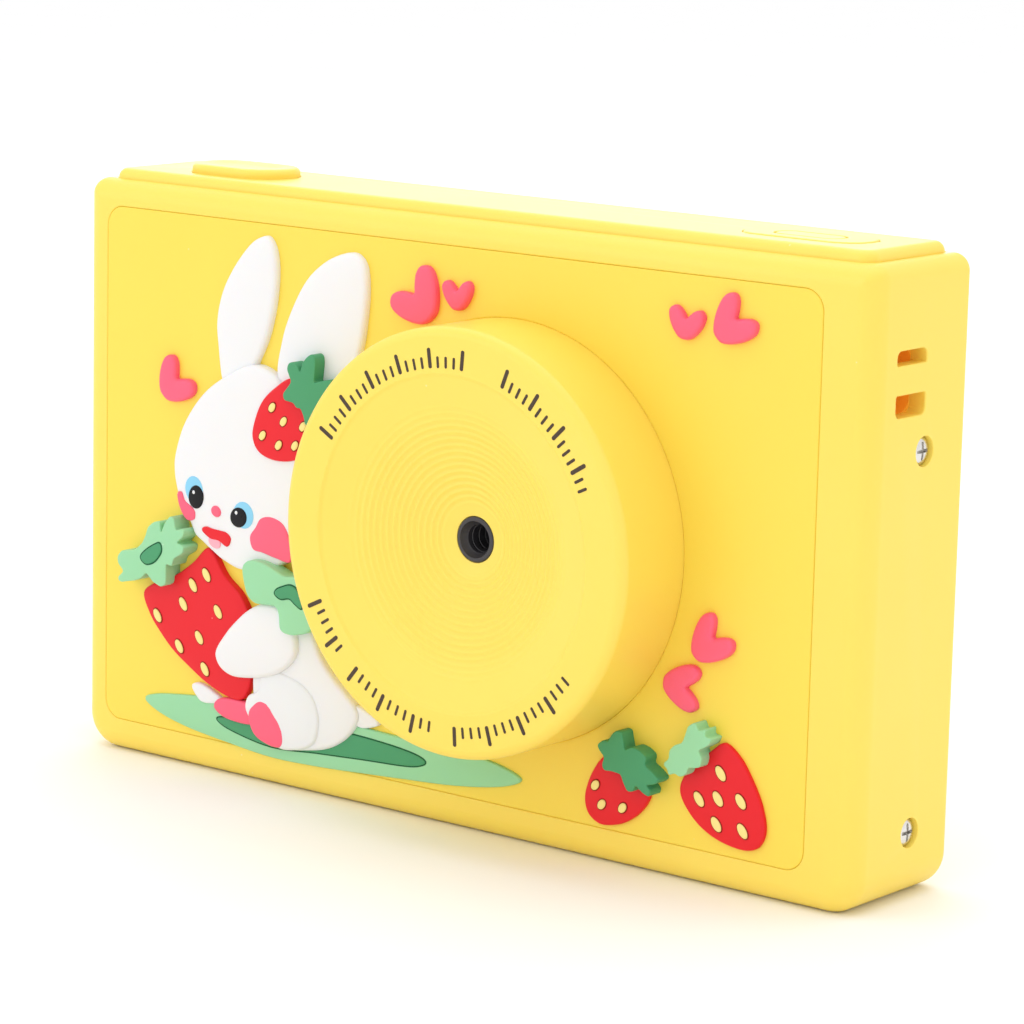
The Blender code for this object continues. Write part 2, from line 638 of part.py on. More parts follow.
# ---------------------------------------------------------------- inside


def electronics(finishes):
    """Circuit board and what is mounted on it."""
    outline = [Vector(p) * MM for p in ((-40.6, 4.5), (40.4, 4.5), (40.4, 49.5), (-40.6, 49.5))]
    board = add("main_board", prism(outline, BOARD_FRONT_Y, BOARD_BACK_Y, "Y"), finishes["green_board"])
    for number, place in enumerate(BOARD_SCREWS, 1):
        cut(board, prism(circle(SCREW_HOLE_RADIUS, 8, place), -1 * MM, 1 * MM, "Y"), f"hole_{number}")

    def block(name, centre, size, material):
        """Axis-aligned block given by its centre and size in millimetres."""
        low = [(c - s / 2) * MM for c, s in zip(centre, size)]
        high = [(c + s / 2) * MM for c, s in zip(centre, size)]
        return add(name, box(low, high), finishes[material])

    block("processor", (5.0, 1.3, 27.0), (8.0, 1.0, 8.0), "black_plastic")
    block("lcd_module", (10.7, 4.675, 29.5), (59.4, 2.35, 43.0), "screen")
    block("key_membrane", (-30.8, 3.7, 30.75), (20.0, 1.0, 37.5), "grey_rubber")
    speaker = rounded_rectangle(15.4 * MM, 8.8 * MM, 2.0 * MM, 3, (-32.7 * MM, 6.9 * MM))
    add("speaker", prism(speaker, 1.2 * MM, 5.6 * MM, "Y"), finishes["black_plastic"])
    capsule = circle(2.0 * MM, 12, (20.0 * MM, 6.8 * MM))
    add("microphone", prism(capsule, -2.3 * MM, BOARD_FRONT_Y - GAP, "Y"), finishes["nickel"])
    cell = rounded_rectangle(24.0 * MM, 40.0 * MM, 1.5 * MM, 3, (-26.0 * MM, 26.0 * MM))
    add("battery", prism(cell, -5.0 * MM, -0.9 * MM, "Y"), finishes["silver_wrap"])

    for name, centre_x in (("shutter_switch", SHUTTER_X), ("power_switch", POWER_X)):
        half = 3.0 * MM
        case = box((centre_x - half, -half, 49.9 * MM), (centre_x + half, half, 53.0 * MM))
        switch = add(name, case, finishes["nickel"])
        join(switch, prism(circle(1.2 * MM, 10, (centre_x, 0.0)), 52.5 * MM, 53.6 * MM, "Z"), "plunger")


def ports(finishes):
    """Charging socket, card socket and the card itself, in the left-hand side."""
    outer_x, inner_x = -47.0 * MM, -40.0 * MM
    case = pill(3.2 * MM, 9.0 * MM, 4, (USB_Y, USB_Z))
    socket = add("usb_port", prism(case, outer_x, inner_x, "X"), finishes["nickel"])
    mouth = pill(2.6 * MM, 8.4 * MM, 4, (USB_Y, USB_Z))
    cut(socket, prism(mouth, outer_x - 1 * MM, inner_x - 1 * MM, "X"), "mouth")
    tongue = box(
        (outer_x + 0.8 * MM, USB_Y - 0.35 * MM, USB_Z - 3.3 * MM),
        (inner_x - 0.5 * MM, USB_Y + 0.35 * MM, USB_Z + 3.3 * MM),
    )
    join(socket, tongue, "tongue")

    card_end_x = -SIDE_X - 0.4 * MM
    half_y, half_z = CARD_SIZE[1] / 2, CARD_SIZE[2] / 2
    holder = add(
        "card_socket",
        box(
            (-45.2 * MM, BOARD_BACK_Y + GAP, CARD_Z - half_z - 0.9 * MM),
            (-30.2 * MM, 2.9 * MM, CARD_Z + half_z + 0.9 * MM),
        ),
        finishes["nickel"],
    )
    channel = box(
        (-46.0 * MM, CARD_Y - half_y - GAP, CARD_Z - half_z - GAP),
        (card_end_x + CARD_SIZE[0] + 2 * GAP, CARD_Y + half_y + GAP, CARD_Z + half_z + GAP),
    )
    cut(holder, channel, "channel")
    notch = 2.0 * MM
    outline = [
        Vector((card_end_x, CARD_Z - half_z)), Vector((card_end_x + CARD_SIZE[0], CARD_Z - half_z)),
        Vector((card_end_x + CARD_SIZE[0], CARD_Z + half_z - notch)),
        Vector((card_end_x + CARD_SIZE[0] - notch, CARD_Z + half_z)), Vector((card_end_x, CARD_Z + half_z)),
    ]
    card = prism(outline, CARD_Y - half_y, CARD_Y + half_y, "Y")
    add("memory_card", card, finishes["black_plastic"], origin=(card_end_x, CARD_Y, CARD_Z))


def screen_window(finishes):
    """Clear cover over the display, flush with the rear cover."""
    outline = rounded_rectangle(*WINDOW_SIZE, 2.0 * MM, 3, SCREEN_CENTRE)
    add("screen_window", prism(outline, BACK_Y - WINDOW_THICKNESS, BACK_Y, "Y"), finishes["screen"])


# ---------------------------------------------------------------- soft decoration


def relief(name, outline, base, top, material):
    """Soft raised motif, between two heights in millimetres above the panel."""
    shape = prism(outline, FRONT_Y - top * MM, FRONT_Y - base * MM, "Y")
    round_rim(shape, FRONT_Y - top * MM, "Y", 0.25 * MM, 1)
    return add(name, shape, material)


def decoration(finishes):
    """Rabbit hugging a strawberry on grass, with hearts and more strawberries round it."""
    white, pink, red = finishes["soft_white"], finishes["soft_pink"], finishes["soft_red"]
    mint, green = finishes["mint_green"], finishes["leaf_green"]

    meadow = [
        (-37.8, 6.9), (-31, 8.2), (-22, 8.6), (-10, 8.0), (3, 7.9),
        (11.2, 6.4), (2, 4.6), (-9, 3.4), (-22, 2.9), (-32, 3.8),
    ]
    relief("grass", smooth_outline(meadow), 0.3, 0.8, mint)
    head = relief("bunny_head", ellipse((-24.2, 31.9), 9.7, 10.1, 0, 20), 0.3, 2.2, white)
    for label, centre, half_width, half_height, tilt in (
        ("left_ear", (-23.9, 47.0), 3.6, 8.1, -12), ("right_ear", (-14.6, 46.4), 4.6, 8.4, -24)
    ):
        outline = ellipse(centre, half_width, half_height, tilt, 16)
        join(head, prism(outline, FRONT_Y - 1.8 * MM, FRONT_Y - 0.4 * MM, "Y"), label)
    body = [
        (-19.5, 20.4), (-21.2, 15), (-21.7, 9), (-19.6, 6.2), (-15.5, 5.2),
        (-11, 6.0), (-7.2, 9.4), (-8.6, 12.4), (-12.4, 15), (-15.6, 19.4),
    ]
    relief("bunny_body", smooth_outline(body), 1.1, 1.9, white)
    arm = [
        (-28.2, 12), (-26, 15.6), (-22.8, 18), (-19, 18.3),
        (-16.4, 15.6), (-17.6, 12.6), (-21.5, 11), (-25.6, 10.7),
    ]
    relief("bunny_arm", smooth_outline(arm), 2.3, 2.9, white)
    bow = [
        (-24.4, 20.2), (-22.2, 23.2), (-18.4, 23.2), (-15.6, 20.8),
        (-15.3, 17.8), (-17.4, 16.5), (-20, 18.7), (-23.2, 18.7),
    ]
    relief("neck_bow", smooth_outline(bow), 3.2, 3.7, mint)

    relief("hugged_strawberry", berry((-30.1, 14.6), 14.0, 15.2, 38), 1.1, 1.9, red)
    relief("hugged_strawberry_leaf", crown((-35.6, 22.0), 5.4, 3.6, 6, 1.1, 18), 2.3, 2.8, mint)
    relief("hair_strawberry", berry((-19.2, 37.6), 7.6, 8.4, -14), 2.5, 3.0, red)
    relief("hair_strawberry_leaf", crown((-14.6, 41.0), 3.4, 2.3, 5, 1.0, 90), 3.3, 3.7, green)
    relief("left_strawberry", berry((22.0, 8.3), 8.0, 7.8, 0), 0.3, 1.3, red)
    relief("left_strawberry_leaf", crown((24.0, 10.7), 3.6, 2.3, 6, 1.1, -10), 1.6, 2.2, green)
    relief("right_strawberry", berry((34.4, 9.5), 8.6, 10.4, 22), 0.3, 1.3, red)
    relief("right_strawberry_leaf", crown((30.7, 13.3), 3.3, 2.1, 5, 1.0, 40), 1.6, 2.2, mint)

    hearts = (
        (-34.3, 39.2, 5.4, -38), (-2.8, 50.9, 5.8, 36), (1.7, 51.7, 3.8, 5), (28.0, 51.6, 3.8, 25),
        (32.6, 52.0, 5.6, -38), (31.4, 23.0, 5.6, -38), (28.9, 18.3, 4.5, -95),
    )
    for number, (centre_x, centre_z, width, tilt) in enumerate(hearts, 1):
        relief(f"heart_{number}", heart((centre_x, centre_z), width, tilt), 0.3, 1.3, pink)


def main():
    """Clear the scene and build every part."""
    for obj in list(bpy.data.objects):
        bpy.data.objects.remove(obj)
    finishes = make_finishes()
    main_shell(finishes)
    top_plate(finishes)
    top_button("shutter_button", finishes, SHUTTER_X, SHUTTER_SIZE, SHUTTER_TOP_Z, SHUTTER_TRAVEL, 0.6 * MM)
    top_button("power_button", finishes, POWER_X, POWER_SIZE, POWER_TOP_Z, POWER_TRAVEL, 0.3 * MM)
    rear_cover(finishes)
    rear_keys(finishes)
    screen_window(finishes)
    front_panel(finishes)
    lens_parts(finishes)
    fasteners(finishes)
    electronics(finishes)
    ports(finishes)
    decoration(finishes)


main()
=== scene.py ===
"""Looks of the children's camera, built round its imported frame.

Lengths are in metres in the frame of the CAD: X runs to the right seen from the front, the
front faces -Y, Z is up, and the camera stands on z = 0. Sizes written as plain numbers in the
outline tables are millimetres.
"""

from __future__ import annotations

import json
import logging
import math
from collections.abc import Iterable, Sequence
from dataclasses import dataclass
from enum import Enum

import bmesh
import bpy
import numpy as np
from mathutils import Matrix, Vector
from mathutils.geometry import delaunay_2d_cdt

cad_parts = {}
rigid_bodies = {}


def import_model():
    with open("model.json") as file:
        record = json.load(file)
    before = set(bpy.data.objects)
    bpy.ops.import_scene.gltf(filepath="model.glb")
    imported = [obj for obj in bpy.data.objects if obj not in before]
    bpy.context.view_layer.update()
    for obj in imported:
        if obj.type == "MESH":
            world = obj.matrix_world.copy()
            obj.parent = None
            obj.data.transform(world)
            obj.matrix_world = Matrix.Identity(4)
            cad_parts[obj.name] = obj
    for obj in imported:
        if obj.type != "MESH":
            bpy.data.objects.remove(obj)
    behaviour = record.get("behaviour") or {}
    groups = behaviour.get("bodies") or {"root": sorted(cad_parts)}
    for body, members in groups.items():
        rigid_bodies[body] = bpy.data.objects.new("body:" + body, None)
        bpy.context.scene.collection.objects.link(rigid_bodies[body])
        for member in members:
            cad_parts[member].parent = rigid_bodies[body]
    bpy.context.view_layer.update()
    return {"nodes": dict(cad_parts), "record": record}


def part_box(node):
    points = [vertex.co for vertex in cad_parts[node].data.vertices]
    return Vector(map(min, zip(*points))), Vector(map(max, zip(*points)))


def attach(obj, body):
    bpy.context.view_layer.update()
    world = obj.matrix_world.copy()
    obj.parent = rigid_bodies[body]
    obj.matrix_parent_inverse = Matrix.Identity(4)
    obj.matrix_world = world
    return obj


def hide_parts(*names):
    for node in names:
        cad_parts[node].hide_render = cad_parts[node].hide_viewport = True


MM = 0.001
LOG = logging.getLogger("childrens_camera")

Point = tuple[float, float]
Place = tuple[float, float, float]
Outline = list[Vector]
Solid = bmesh.types.BMesh


# ------------------------------------------------------------------ outlines


def rounded_rectangle(
    centre: Point, width: float, height: float, upper: float, lower: float | None = None, steps: int = 10
) -> Outline:
    """Make a rectangle with round corners.

    Args:
        centre: Middle of the rectangle.
        width: Full width.
        height: Full height.
        upper: Radius of the upper corners.
        lower: Radius of the lower corners, or None for the same as the upper ones.
        steps: Steps in each quarter circle.

    Returns:
        The outline, anticlockwise.
    """
    points: Outline = []
    for quarter in range(4):
        bend = upper if quarter < 2 or lower is None else lower
        start = quarter * math.pi / 2
        corner = Vector(centre) + Vector(
            (
                math.copysign(width / 2 - bend, math.cos(start + math.pi / 4)),
                math.copysign(height / 2 - bend, math.sin(start + math.pi / 4)),
            )
        )
        for step in range(steps + 1):
            turn = start + step * math.pi / 2 / steps
            point = corner + Vector((math.cos(turn), math.sin(turn))) * bend
            if not points or (point - points[-1]).length > 1e-6:
                points.append(point)
    if (points[0] - points[-1]).length < 1e-6:
        points.pop()
    return points


def pill(centre: Point, length: float, width: float, steps: int = 12) -> Outline:
    """Two straight sides joined by half circles."""
    return rounded_rectangle(centre, length, width, 0.485 * min(length, width), steps=steps)


def circle(centre: Point, radius: float, steps: int = 48) -> Outline:
    """Round outline, anticlockwise."""
    turns = [2 * math.pi * step / steps for step in range(steps)]
    return [Vector((centre[0] + radius * math.cos(t), centre[1] + radius * math.sin(t))) for t in turns]


def ellipse(
    centre: Point, half_width: float, half_height: float, tilt: float = 0.0, steps: int = 32
) -> Outline:
    """Ellipse in millimetres, turned by tilt degrees, as an outline in metres."""
    turns = [2 * math.pi * step / steps for step in range(steps)]
    return placed([(half_width * math.cos(t), half_height * math.sin(t)) for t in turns], centre, tilt)


def placed(points: Iterable[Point], centre: Point, tilt: float, scale: float = 1.0) -> Outline:
    """Scale an outline in millimetres, turn it by tilt degrees and move it, in metres.

    Args:
        points: Corners of the outline, in millimetres.
        centre: Place that its origin moves to, in millimetres.
        tilt: Turn, in degrees.
        scale: Factor that the outline grows by.

    Returns:
        The outline in metres.
    """
    cosine, sine = math.cos(math.radians(tilt)) * scale, math.sin(math.radians(tilt)) * scale
    return [
        Vector((centre[0] + u * cosine - v * sine, centre[1] + u * sine + v * cosine)) * MM
        for u, v in points
    ]


def flowing(knots: Sequence[Point], steps: int = 6) -> Outline:
    """Closed smooth curve through points in millimetres.

    Args:
        knots: Points that the curve passes through, anticlockwise or clockwise.
        steps: Points made for each stretch between two knots.

    Returns:
        The curve in metres.
    """
    places = [Vector(knot) * MM for knot in knots]
    count = len(places)
    curve: Outline = []
    for index in range(count):
        before, start, end, after = (places[(index + shift) % count] for shift in (-1, 0, 1, 2))
        for step in range(steps):
            t = step / steps
            curve.append(
                start
                + (end - before) * 0.5 * t
                + (before - 2.5 * start + 2 * end - 0.5 * after) * t * t
                + (-0.5 * before + 1.5 * start - 1.5 * end + 0.5 * after) * t * t * t
            )
    return curve


def softened(corners: Sequence[Point], radius: float, steps: int = 4) -> Outline:
    """Polygon in millimetres whose corners are rounded.

    Args:
        corners: Corner points.
        radius: Rounding in millimetres, less where a side is short.
        steps: Steps across each rounded corner.

    Returns:
        The outline in metres.
    """
    outline: Outline = []
    count = len(corners)
    for index in range(count):
        before, here, after = (Vector(corners[(index + shift) % count]) for shift in (-1, 0, 1))
        back, ahead = before - here, after - here
        reach = min(radius, back.length * 0.48, ahead.length * 0.48)
        start, end = here + back.normalized() * reach, here + ahead.normalized() * reach
        for step in range(steps + 1):
            t = step / steps
            outline.append(((1 - t) ** 2 * start + 2 * t * (1 - t) * here + t * t * end) * MM)
    return outline


def anticlockwise(outline: Outline) -> Outline:
    """The outline in anticlockwise order."""
    area = sum(outline[i - 1].cross(outline[i]) for i in range(len(outline)))
    return outline if area > 0 else outline[::-1]


def resampled(outline: Outline, spacing: float) -> Outline:
    """The outline with points at an even spacing.

    Args:
        outline: Closed outline.
        spacing: Distance between points.

    Returns:
        The new outline.
    """
    closed = [*outline, outline[0]]
    lengths = [0.0]
    for start, end in zip(closed, closed[1:]):
        lengths.append(lengths[-1] + (end - start).length)
    count = max(12, round(lengths[-1] / spacing))
    wanted = np.linspace(0.0, lengths[-1], count, endpoint=False)
    across = np.interp(wanted, lengths, [p.x for p in closed])
    along = np.interp(wanted, lengths, [p.y for p in closed])
    return [Vector(pair) for pair in zip(across.tolist(), along.tolist())]


def grown(outline: Outline, distance: float) -> Outline:
    """Offset an anticlockwise outline.

    Args:
        outline: Outline to offset.
        distance: Offset outwards, or inwards when negative.

    Returns:
        The new outline, with as many points.
    """
    sharpest = 0.35
    result: Outline = []
    count = len(outline)
    for index in range(count):
        before = (outline[index] - outline[index - 1]).normalized()
        after = (outline[(index + 1) % count] - outline[index]).normalized()
        normal = Vector((before.y + after.y, -before.x - after.x)).normalized()
        square = max(sharpest, normal.dot(Vector((before.y, -before.x))))
        result.append(outline[index] + normal * (distance / square))
    return result


# ------------------------------------------------------------------ solids


class Axis(Enum):
    """Direction that an outline faces."""

    X = 0
    Y = 1
    Z = 2

    def place(self, point: Vector, level: float) -> Vector:
        """Put a point of an outline at a level along this axis."""
        u, v = point
        return Vector(((level, u, v), (u, level, v), (u, v, level))[self.value])


def loft(sections: Sequence[tuple[Outline, float]], axis: Axis) -> Solid:
    """Skin closed outlines that have the same number of points.

    Args:
        sections: Outlines, each with its level along the axis.
        axis: Direction that the outlines face.

    Returns:
        A closed solid.
    """
    shape = bmesh.new()
    rings = [
        [shape.verts.new(axis.place(point, level)) for point in outline] for outline, level in sections
    ]
    for lower, upper in zip(rings, rings[1:]):
        for index in range(len(lower)):
            shape.faces.new((lower[index - 1], lower[index], upper[index], upper[index - 1]))
    shape.faces.new(rings[0])
    shape.faces.new(rings[-1])
    bmesh.ops.recalc_face_normals(shape, faces=shape.faces)
    return shape


def rounded_slab(
    outline: Outline,
    low: float,
    high: float,
    axis: Axis,
    low_rim: float = 0.0,
    high_rim: float = 0.0,
    steps: int = 5,
) -> Solid:
    """Slab between two levels with round rims.

    Args:
        outline: Outer outline, anticlockwise.
        low: Lower level.
        high: Upper level.
        axis: Direction that the outline faces.
        low_rim: Radius of the lower rim, 0 for a sharp one.
        high_rim: Radius of the upper rim, 0 for a sharp one.
        steps: Steps across each rim.

    Returns:
        A closed solid.
    """
    sections: list[tuple[Outline, float]] = []
    for step in range(steps + 1 if low_rim else 1):
        turn = step * math.pi / 2 / steps
        inset = low_rim * (1 - math.sin(turn))
        sections.append((grown(outline, -inset), low + low_rim * (1 - math.cos(turn))))
    for step in range(steps + 1 if high_rim else 1):
        turn = math.pi / 2 - step * math.pi / 2 / steps
        inset = high_rim * (1 - math.sin(turn))
        sections.append((grown(outline, -inset), high - high_rim * (1 - math.cos(turn))))
    return loft(sections, axis)


def flared_cutter(outline: Outline, axis: Axis, inner: float, surface: float, lip: float) -> Solid:
    """Cutter that leaves a rounded lip where it breaks through a surface.

    Args:
        outline: Outline of the hole, anticlockwise.
        axis: Direction of the hole.
        inner: Level of the bottom of the hole.
        surface: Level of the surface that it breaks through.
        lip: Radius of the rounded lip.

    Returns:
        A closed solid that reaches a little past the surface.
    """
    side = 1.0 if surface > inner else -1.0
    sections = [(outline, inner)]
    for step in range(5):
        turn = step * math.pi / 8
        widening, below = lip * (1 - math.cos(turn)), lip * (1 - math.sin(turn))
        sections.append((grown(outline, widening), surface - side * below))
    sections.append((grown(outline, lip), surface + side * 1.5 * MM))
    return loft(sections, axis)


def block(low: Sequence[float], high: Sequence[float]) -> Solid:
    """Sharp block between two corners, used as a cutter or joined to a wall.

    Args:
        low: Lowest corner.
        high: Highest corner.

    Returns:
        The block.
    """
    places = ((low[0], low[2]), (high[0], low[2]), (high[0], high[2]), (low[0], high[2]))
    corners = [Vector(place) for place in places]
    return loft([(corners, low[1]), (corners, high[1])], Axis.Y)


def turned(profile: Sequence[Point], axis: Axis, centre: Sequence[float], segments: int) -> Solid:
    """Spin a profile round an axis.

    Args:
        profile: Pairs of radius and level along the axis, closed if it doesn't start and end on the axis.
        axis: Axis of rotation.
        centre: A point on the axis.
        segments: Steps round the axis.

    Returns:
        The turned solid.
    """
    shape = bmesh.new()
    middle = Vector([centre[i] for i in range(3) if i != axis.value])
    rings = []
    for radius, level in profile:
        if radius < 1e-7:
            rings.append([shape.verts.new(axis.place(middle, level))] * segments)
            continue
        points = circle((middle.x, middle.y), radius, segments)
        rings.append([shape.verts.new(axis.place(point, level)) for point in points])
    pairs = list(zip(rings, rings[1:]))
    if profile[0][0] > 1e-7:
        pairs.append((rings[-1], rings[0]))
    for first, second in pairs:
        for index in range(segments):
            around = (first[index - 1], first[index], second[index], second[index - 1])
            corners = list(dict.fromkeys(around))
            if len(corners) > 2:
                shape.faces.new(corners)
    bmesh.ops.recalc_face_normals(shape, faces=shape.faces)
    return shape


def merged(shapes: Iterable[Solid]) -> Solid:
    """Put several solids into one mesh.

    Args:
        shapes: Solids, which are used up.

    Returns:
        One mesh with every solid.
    """
    result = bmesh.new()
    for shape in shapes:
        part = bpy.data.meshes.new("part")
        shape.to_mesh(part)
        shape.free()
        result.from_mesh(part)
        bpy.data.meshes.remove(part)
    return result


def carved(
    base: Solid, cutters: Sequence[Solid], additions: Sequence[Solid] = ()
) -> bpy.types.Mesh:
    """Join solids to a base and cut others away, with exact Booleans.

    Args:
        base: Solid to start from.
        cutters: Solids to cut away, after the additions.
        additions: Solids to join.

    Returns:
        The finished mesh.
    """
    helpers: list[bpy.types.Object] = []

    def loose(shape: Solid) -> bpy.types.Object:
        """A helper object that holds one solid.

        Args:
            shape: Solid, which is used up.

        Returns:
            The helper object.
        """
        mesh = bpy.data.meshes.new("helper")
        shape.to_mesh(mesh)
        shape.free()
        helper = bpy.data.objects.new("helper", mesh)
        bpy.context.scene.collection.objects.link(helper)
        helpers.append(helper)
        return helper

    target = loose(base)
    for operation, shapes in (("UNION", additions), ("DIFFERENCE", cutters)):
        for shape in shapes:
            modifier = target.modifiers.new(operation, "BOOLEAN")
            modifier.operation = operation
            modifier.solver = "EXACT"
            modifier.object = loose(shape)
    graph = bpy.context.evaluated_depsgraph_get()
    result = bpy.data.meshes.new_from_object(target.evaluated_get(graph))
    for helper in helpers:
        spare = helper.data
        bpy.data.objects.remove(helper)
        bpy.data.meshes.remove(spare)
    return result


@dataclass(frozen=True)
class Pad:
    """Soft raised motif on the front panel, with a rolled rim and a slightly crowned top.

    Attributes:
        outline: Outline in metres, across and up.
        base: Height of its foot above the panel, in millimetres.
        top: Height of its top above the panel, in millimetres.
        rim: Radius of the rolled rim, in millimetres.
        crown: How much the middle stands above the rim, in millimetres.
        cell: Size of the mesh cells inside the rim, in millimetres.
    """

    outline: Outline
    base: float
    top: float
    rim: float = 0.45
    crown: float = 0.12
    cell: float = 0.9

    def shape(self, panel_y: float) -> Solid:
        """Build the pad.

        Args:
            panel_y: Level of the panel's surface.

        Returns:
            A closed solid.
        """
        rim, cell = self.rim * MM, self.cell * MM
        edge_points = anticlockwise(resampled(anticlockwise(self.outline), max(0.16 * MM, rim * 0.42)))
        edge = np.array([tuple(p) for p in edge_points])
        ahead = np.roll(edge, -1, axis=0) - np.roll(edge, 1, axis=0)
        inward = np.stack([-ahead[:, 1], ahead[:, 0]], axis=1)
        inward /= np.linalg.norm(inward, axis=1)[:, None]
        inside = [edge]
        for step in range(1, 5):
            distance = rim * (1 - math.cos(step * math.pi / 8))
            ring = edge + inward * distance
            inside.append(ring[self._depth(ring, edge) > distance * 0.96])
        inside.append(self._lattice(edge, rim + cell * 0.5, cell))
        flat = np.concatenate(inside)
        loops = [(i, (i + 1) % len(edge)) for i in range(len(edge))]
        found, _, faces, *_ = delaunay_2d_cdt([Vector(p) for p in flat.tolist()], loops, [], 1, 1e-9)
        places = np.array([tuple(p) for p in found])
        depth = self._depth(places, edge)
        height = self._height(depth) * MM
        shape = bmesh.new()
        tops = [shape.verts.new((x, panel_y - h, z)) for (x, z), h in zip(places.tolist(), height.tolist())]
        for corners in faces:
            shape.faces.new([tops[corner] for corner in corners])
        border = [e for e in shape.edges if len(e.link_faces) == 1]
        made = bmesh.ops.extrude_edge_only(shape, edges=border)["geom"]
        feet = [item for item in made if isinstance(item, bmesh.types.BMVert)]
        for foot in feet:
            foot.co.y = panel_y - self.base * MM
        bmesh.ops.contextual_create(shape, geom=[e for e in shape.edges if len(e.link_faces) == 1])
        bmesh.ops.recalc_face_normals(shape, faces=shape.faces)
        return shape

    def _height(self, depth: np.ndarray) -> np.ndarray:
        """Height in millimetres at a distance in metres from the outline.

        Args:
            depth: Distance from the outline, in metres.

        Returns:
            The height at each distance.
        """
        near = np.clip(depth / MM, 0.0, None)
        roll = np.sqrt(np.clip(self.rim**2 - (self.rim - np.clip(near, 0.0, self.rim)) ** 2, 0.0, None))
        lift = self.crown * (1 - np.exp(-((near / 1.6) ** 2)))
        return self.top - self.crown - self.rim + roll + lift

    @staticmethod
    def _depth(points: np.ndarray, edge: np.ndarray) -> np.ndarray:
        """Distance from each point to the closed outline.

        Args:
            points: Points to work on.
            edge: Outline as an array.

        Returns:
            One distance for each point.
        """
        start, end = edge, np.roll(edge, -1, axis=0)
        along = end - start
        offset = points[:, None, :] - start[None]
        share = np.clip((offset * along).sum(-1) / (along**2).sum(-1), 0.0, 1.0)
        return np.linalg.norm(offset - share[..., None] * along, axis=-1).min(axis=1)

    def _lattice(self, edge: np.ndarray, margin: float, cell: float) -> np.ndarray:
        """Staggered points inside the outline, no nearer to it than the margin.

        Args:
            edge: Outline as an array.
            margin: Least distance from the outline.
            cell: Distance from point to point.

        Returns:
            The points.
        """
        low, high = edge.min(axis=0), edge.max(axis=0)
        rows = []
        for number, level in enumerate(np.arange(low[1], high[1], cell * 0.87)):
            across = np.arange(low[0] + (number % 2) * cell / 2, high[0], cell)
            rows.append(np.stack([across, np.full_like(across, level)], axis=1))
        points = np.concatenate(rows)
        start, end = edge, np.roll(edge, -1, axis=0)
        x, z = points[:, 0:1], points[:, 1:2]
        spans = (start[:, 1] > z) != (end[:, 1] > z)
        rise = np.where(end[:, 1] == start[:, 1], 1e-12, end[:, 1] - start[:, 1])
        crossing = start[:, 0] + (z - start[:, 1]) * (end[:, 0] - start[:, 0]) / rise
        points = points[(spans & (x < crossing)).sum(axis=1) % 2 == 1]
        return points[self._depth(points, edge) > margin] if len(points) else points


# ------------------------------------------------------------------ finishes


class Slot(Enum):
    """Material slots of the record."""

    YELLOW_SHELL = "yellow_shell"
    YELLOW_SOFT = "yellow_soft"
    KEY_PLASTIC = "key_plastic"
    BLACK_PLASTIC = "black_plastic"
    LENS_GLASS = "lens_glass"
    SENSOR = "sensor"
    SCREEN_GLASS = "screen_glass"
    DISPLAY = "display"
    SCREW_STEEL = "screw_steel"
    METAL_CAN = "metal_can"
    CIRCUIT_BOARD = "circuit_board"
    CHIP = "chip"
    BATTERY_WRAP = "battery_wrap"
    GREY_RUBBER = "grey_rubber"
    SOFT_WHITE = "soft_white"
    SOFT_PINK = "soft_pink"
    SOFT_RED = "soft_red"
    MINT_GREEN = "mint_green"
    LEAF_GREEN = "leaf_green"


Colour = tuple[float, float, float]


class NodeSheet:
    """Places and joins the nodes of one shader tree."""

    def __init__(self, tree: bpy.types.NodeTree) -> None:
        """Work on this tree."""
        self.tree = tree

    def add(
        self, kind: str, inputs: dict[str | int, object] | None = None, **settings: object
    ) -> bpy.types.Node:
        """Add a node.

        Args:
            kind: Type of the node.
            inputs: Values or source sockets for its inputs.
            **settings: Properties of the node.

        Returns:
            The node.
        """
        node = self.tree.nodes.new(kind)
        for name, value in settings.items():
            setattr(node, name, value)
        for name, value in (inputs or {}).items():
            if isinstance(value, bpy.types.NodeSocket):
                self.tree.links.new(value, node.inputs[name])
            else:
                node.inputs[name].default_value = value
        return node

    def maths(self, operation: str, *values: object, clamp: bool = False) -> bpy.types.NodeSocket:
        """Result of a Math node on numbers or sockets."""
        node = self.add("ShaderNodeMath", dict(enumerate(values)), operation=operation, use_clamp=clamp)
        return node.outputs[0]

    def mixed(self, factor: object, first: object, second: object) -> bpy.types.NodeSocket:
        """Colour between two colours or colour sockets."""
        node = self.add("ShaderNodeMix", {0: factor, 6: first, 7: second}, data_type="RGBA")
        return node.outputs[2]

    def grouped(self, group: bpy.types.NodeTree, values: dict[str, object]) -> bpy.types.Node:
        """Place a shared group with its own values."""
        return self.add("ShaderNodeGroup", values, node_tree=group)

    def bumped(self, height: bpy.types.NodeSocket, depth: float) -> bpy.types.NodeSocket:
        """Normal of a surface whose texture has this height and depth."""
        return self.add("ShaderNodeBump", {"Height": height, "Distance": depth, "Strength": 1.0}).outputs[0]


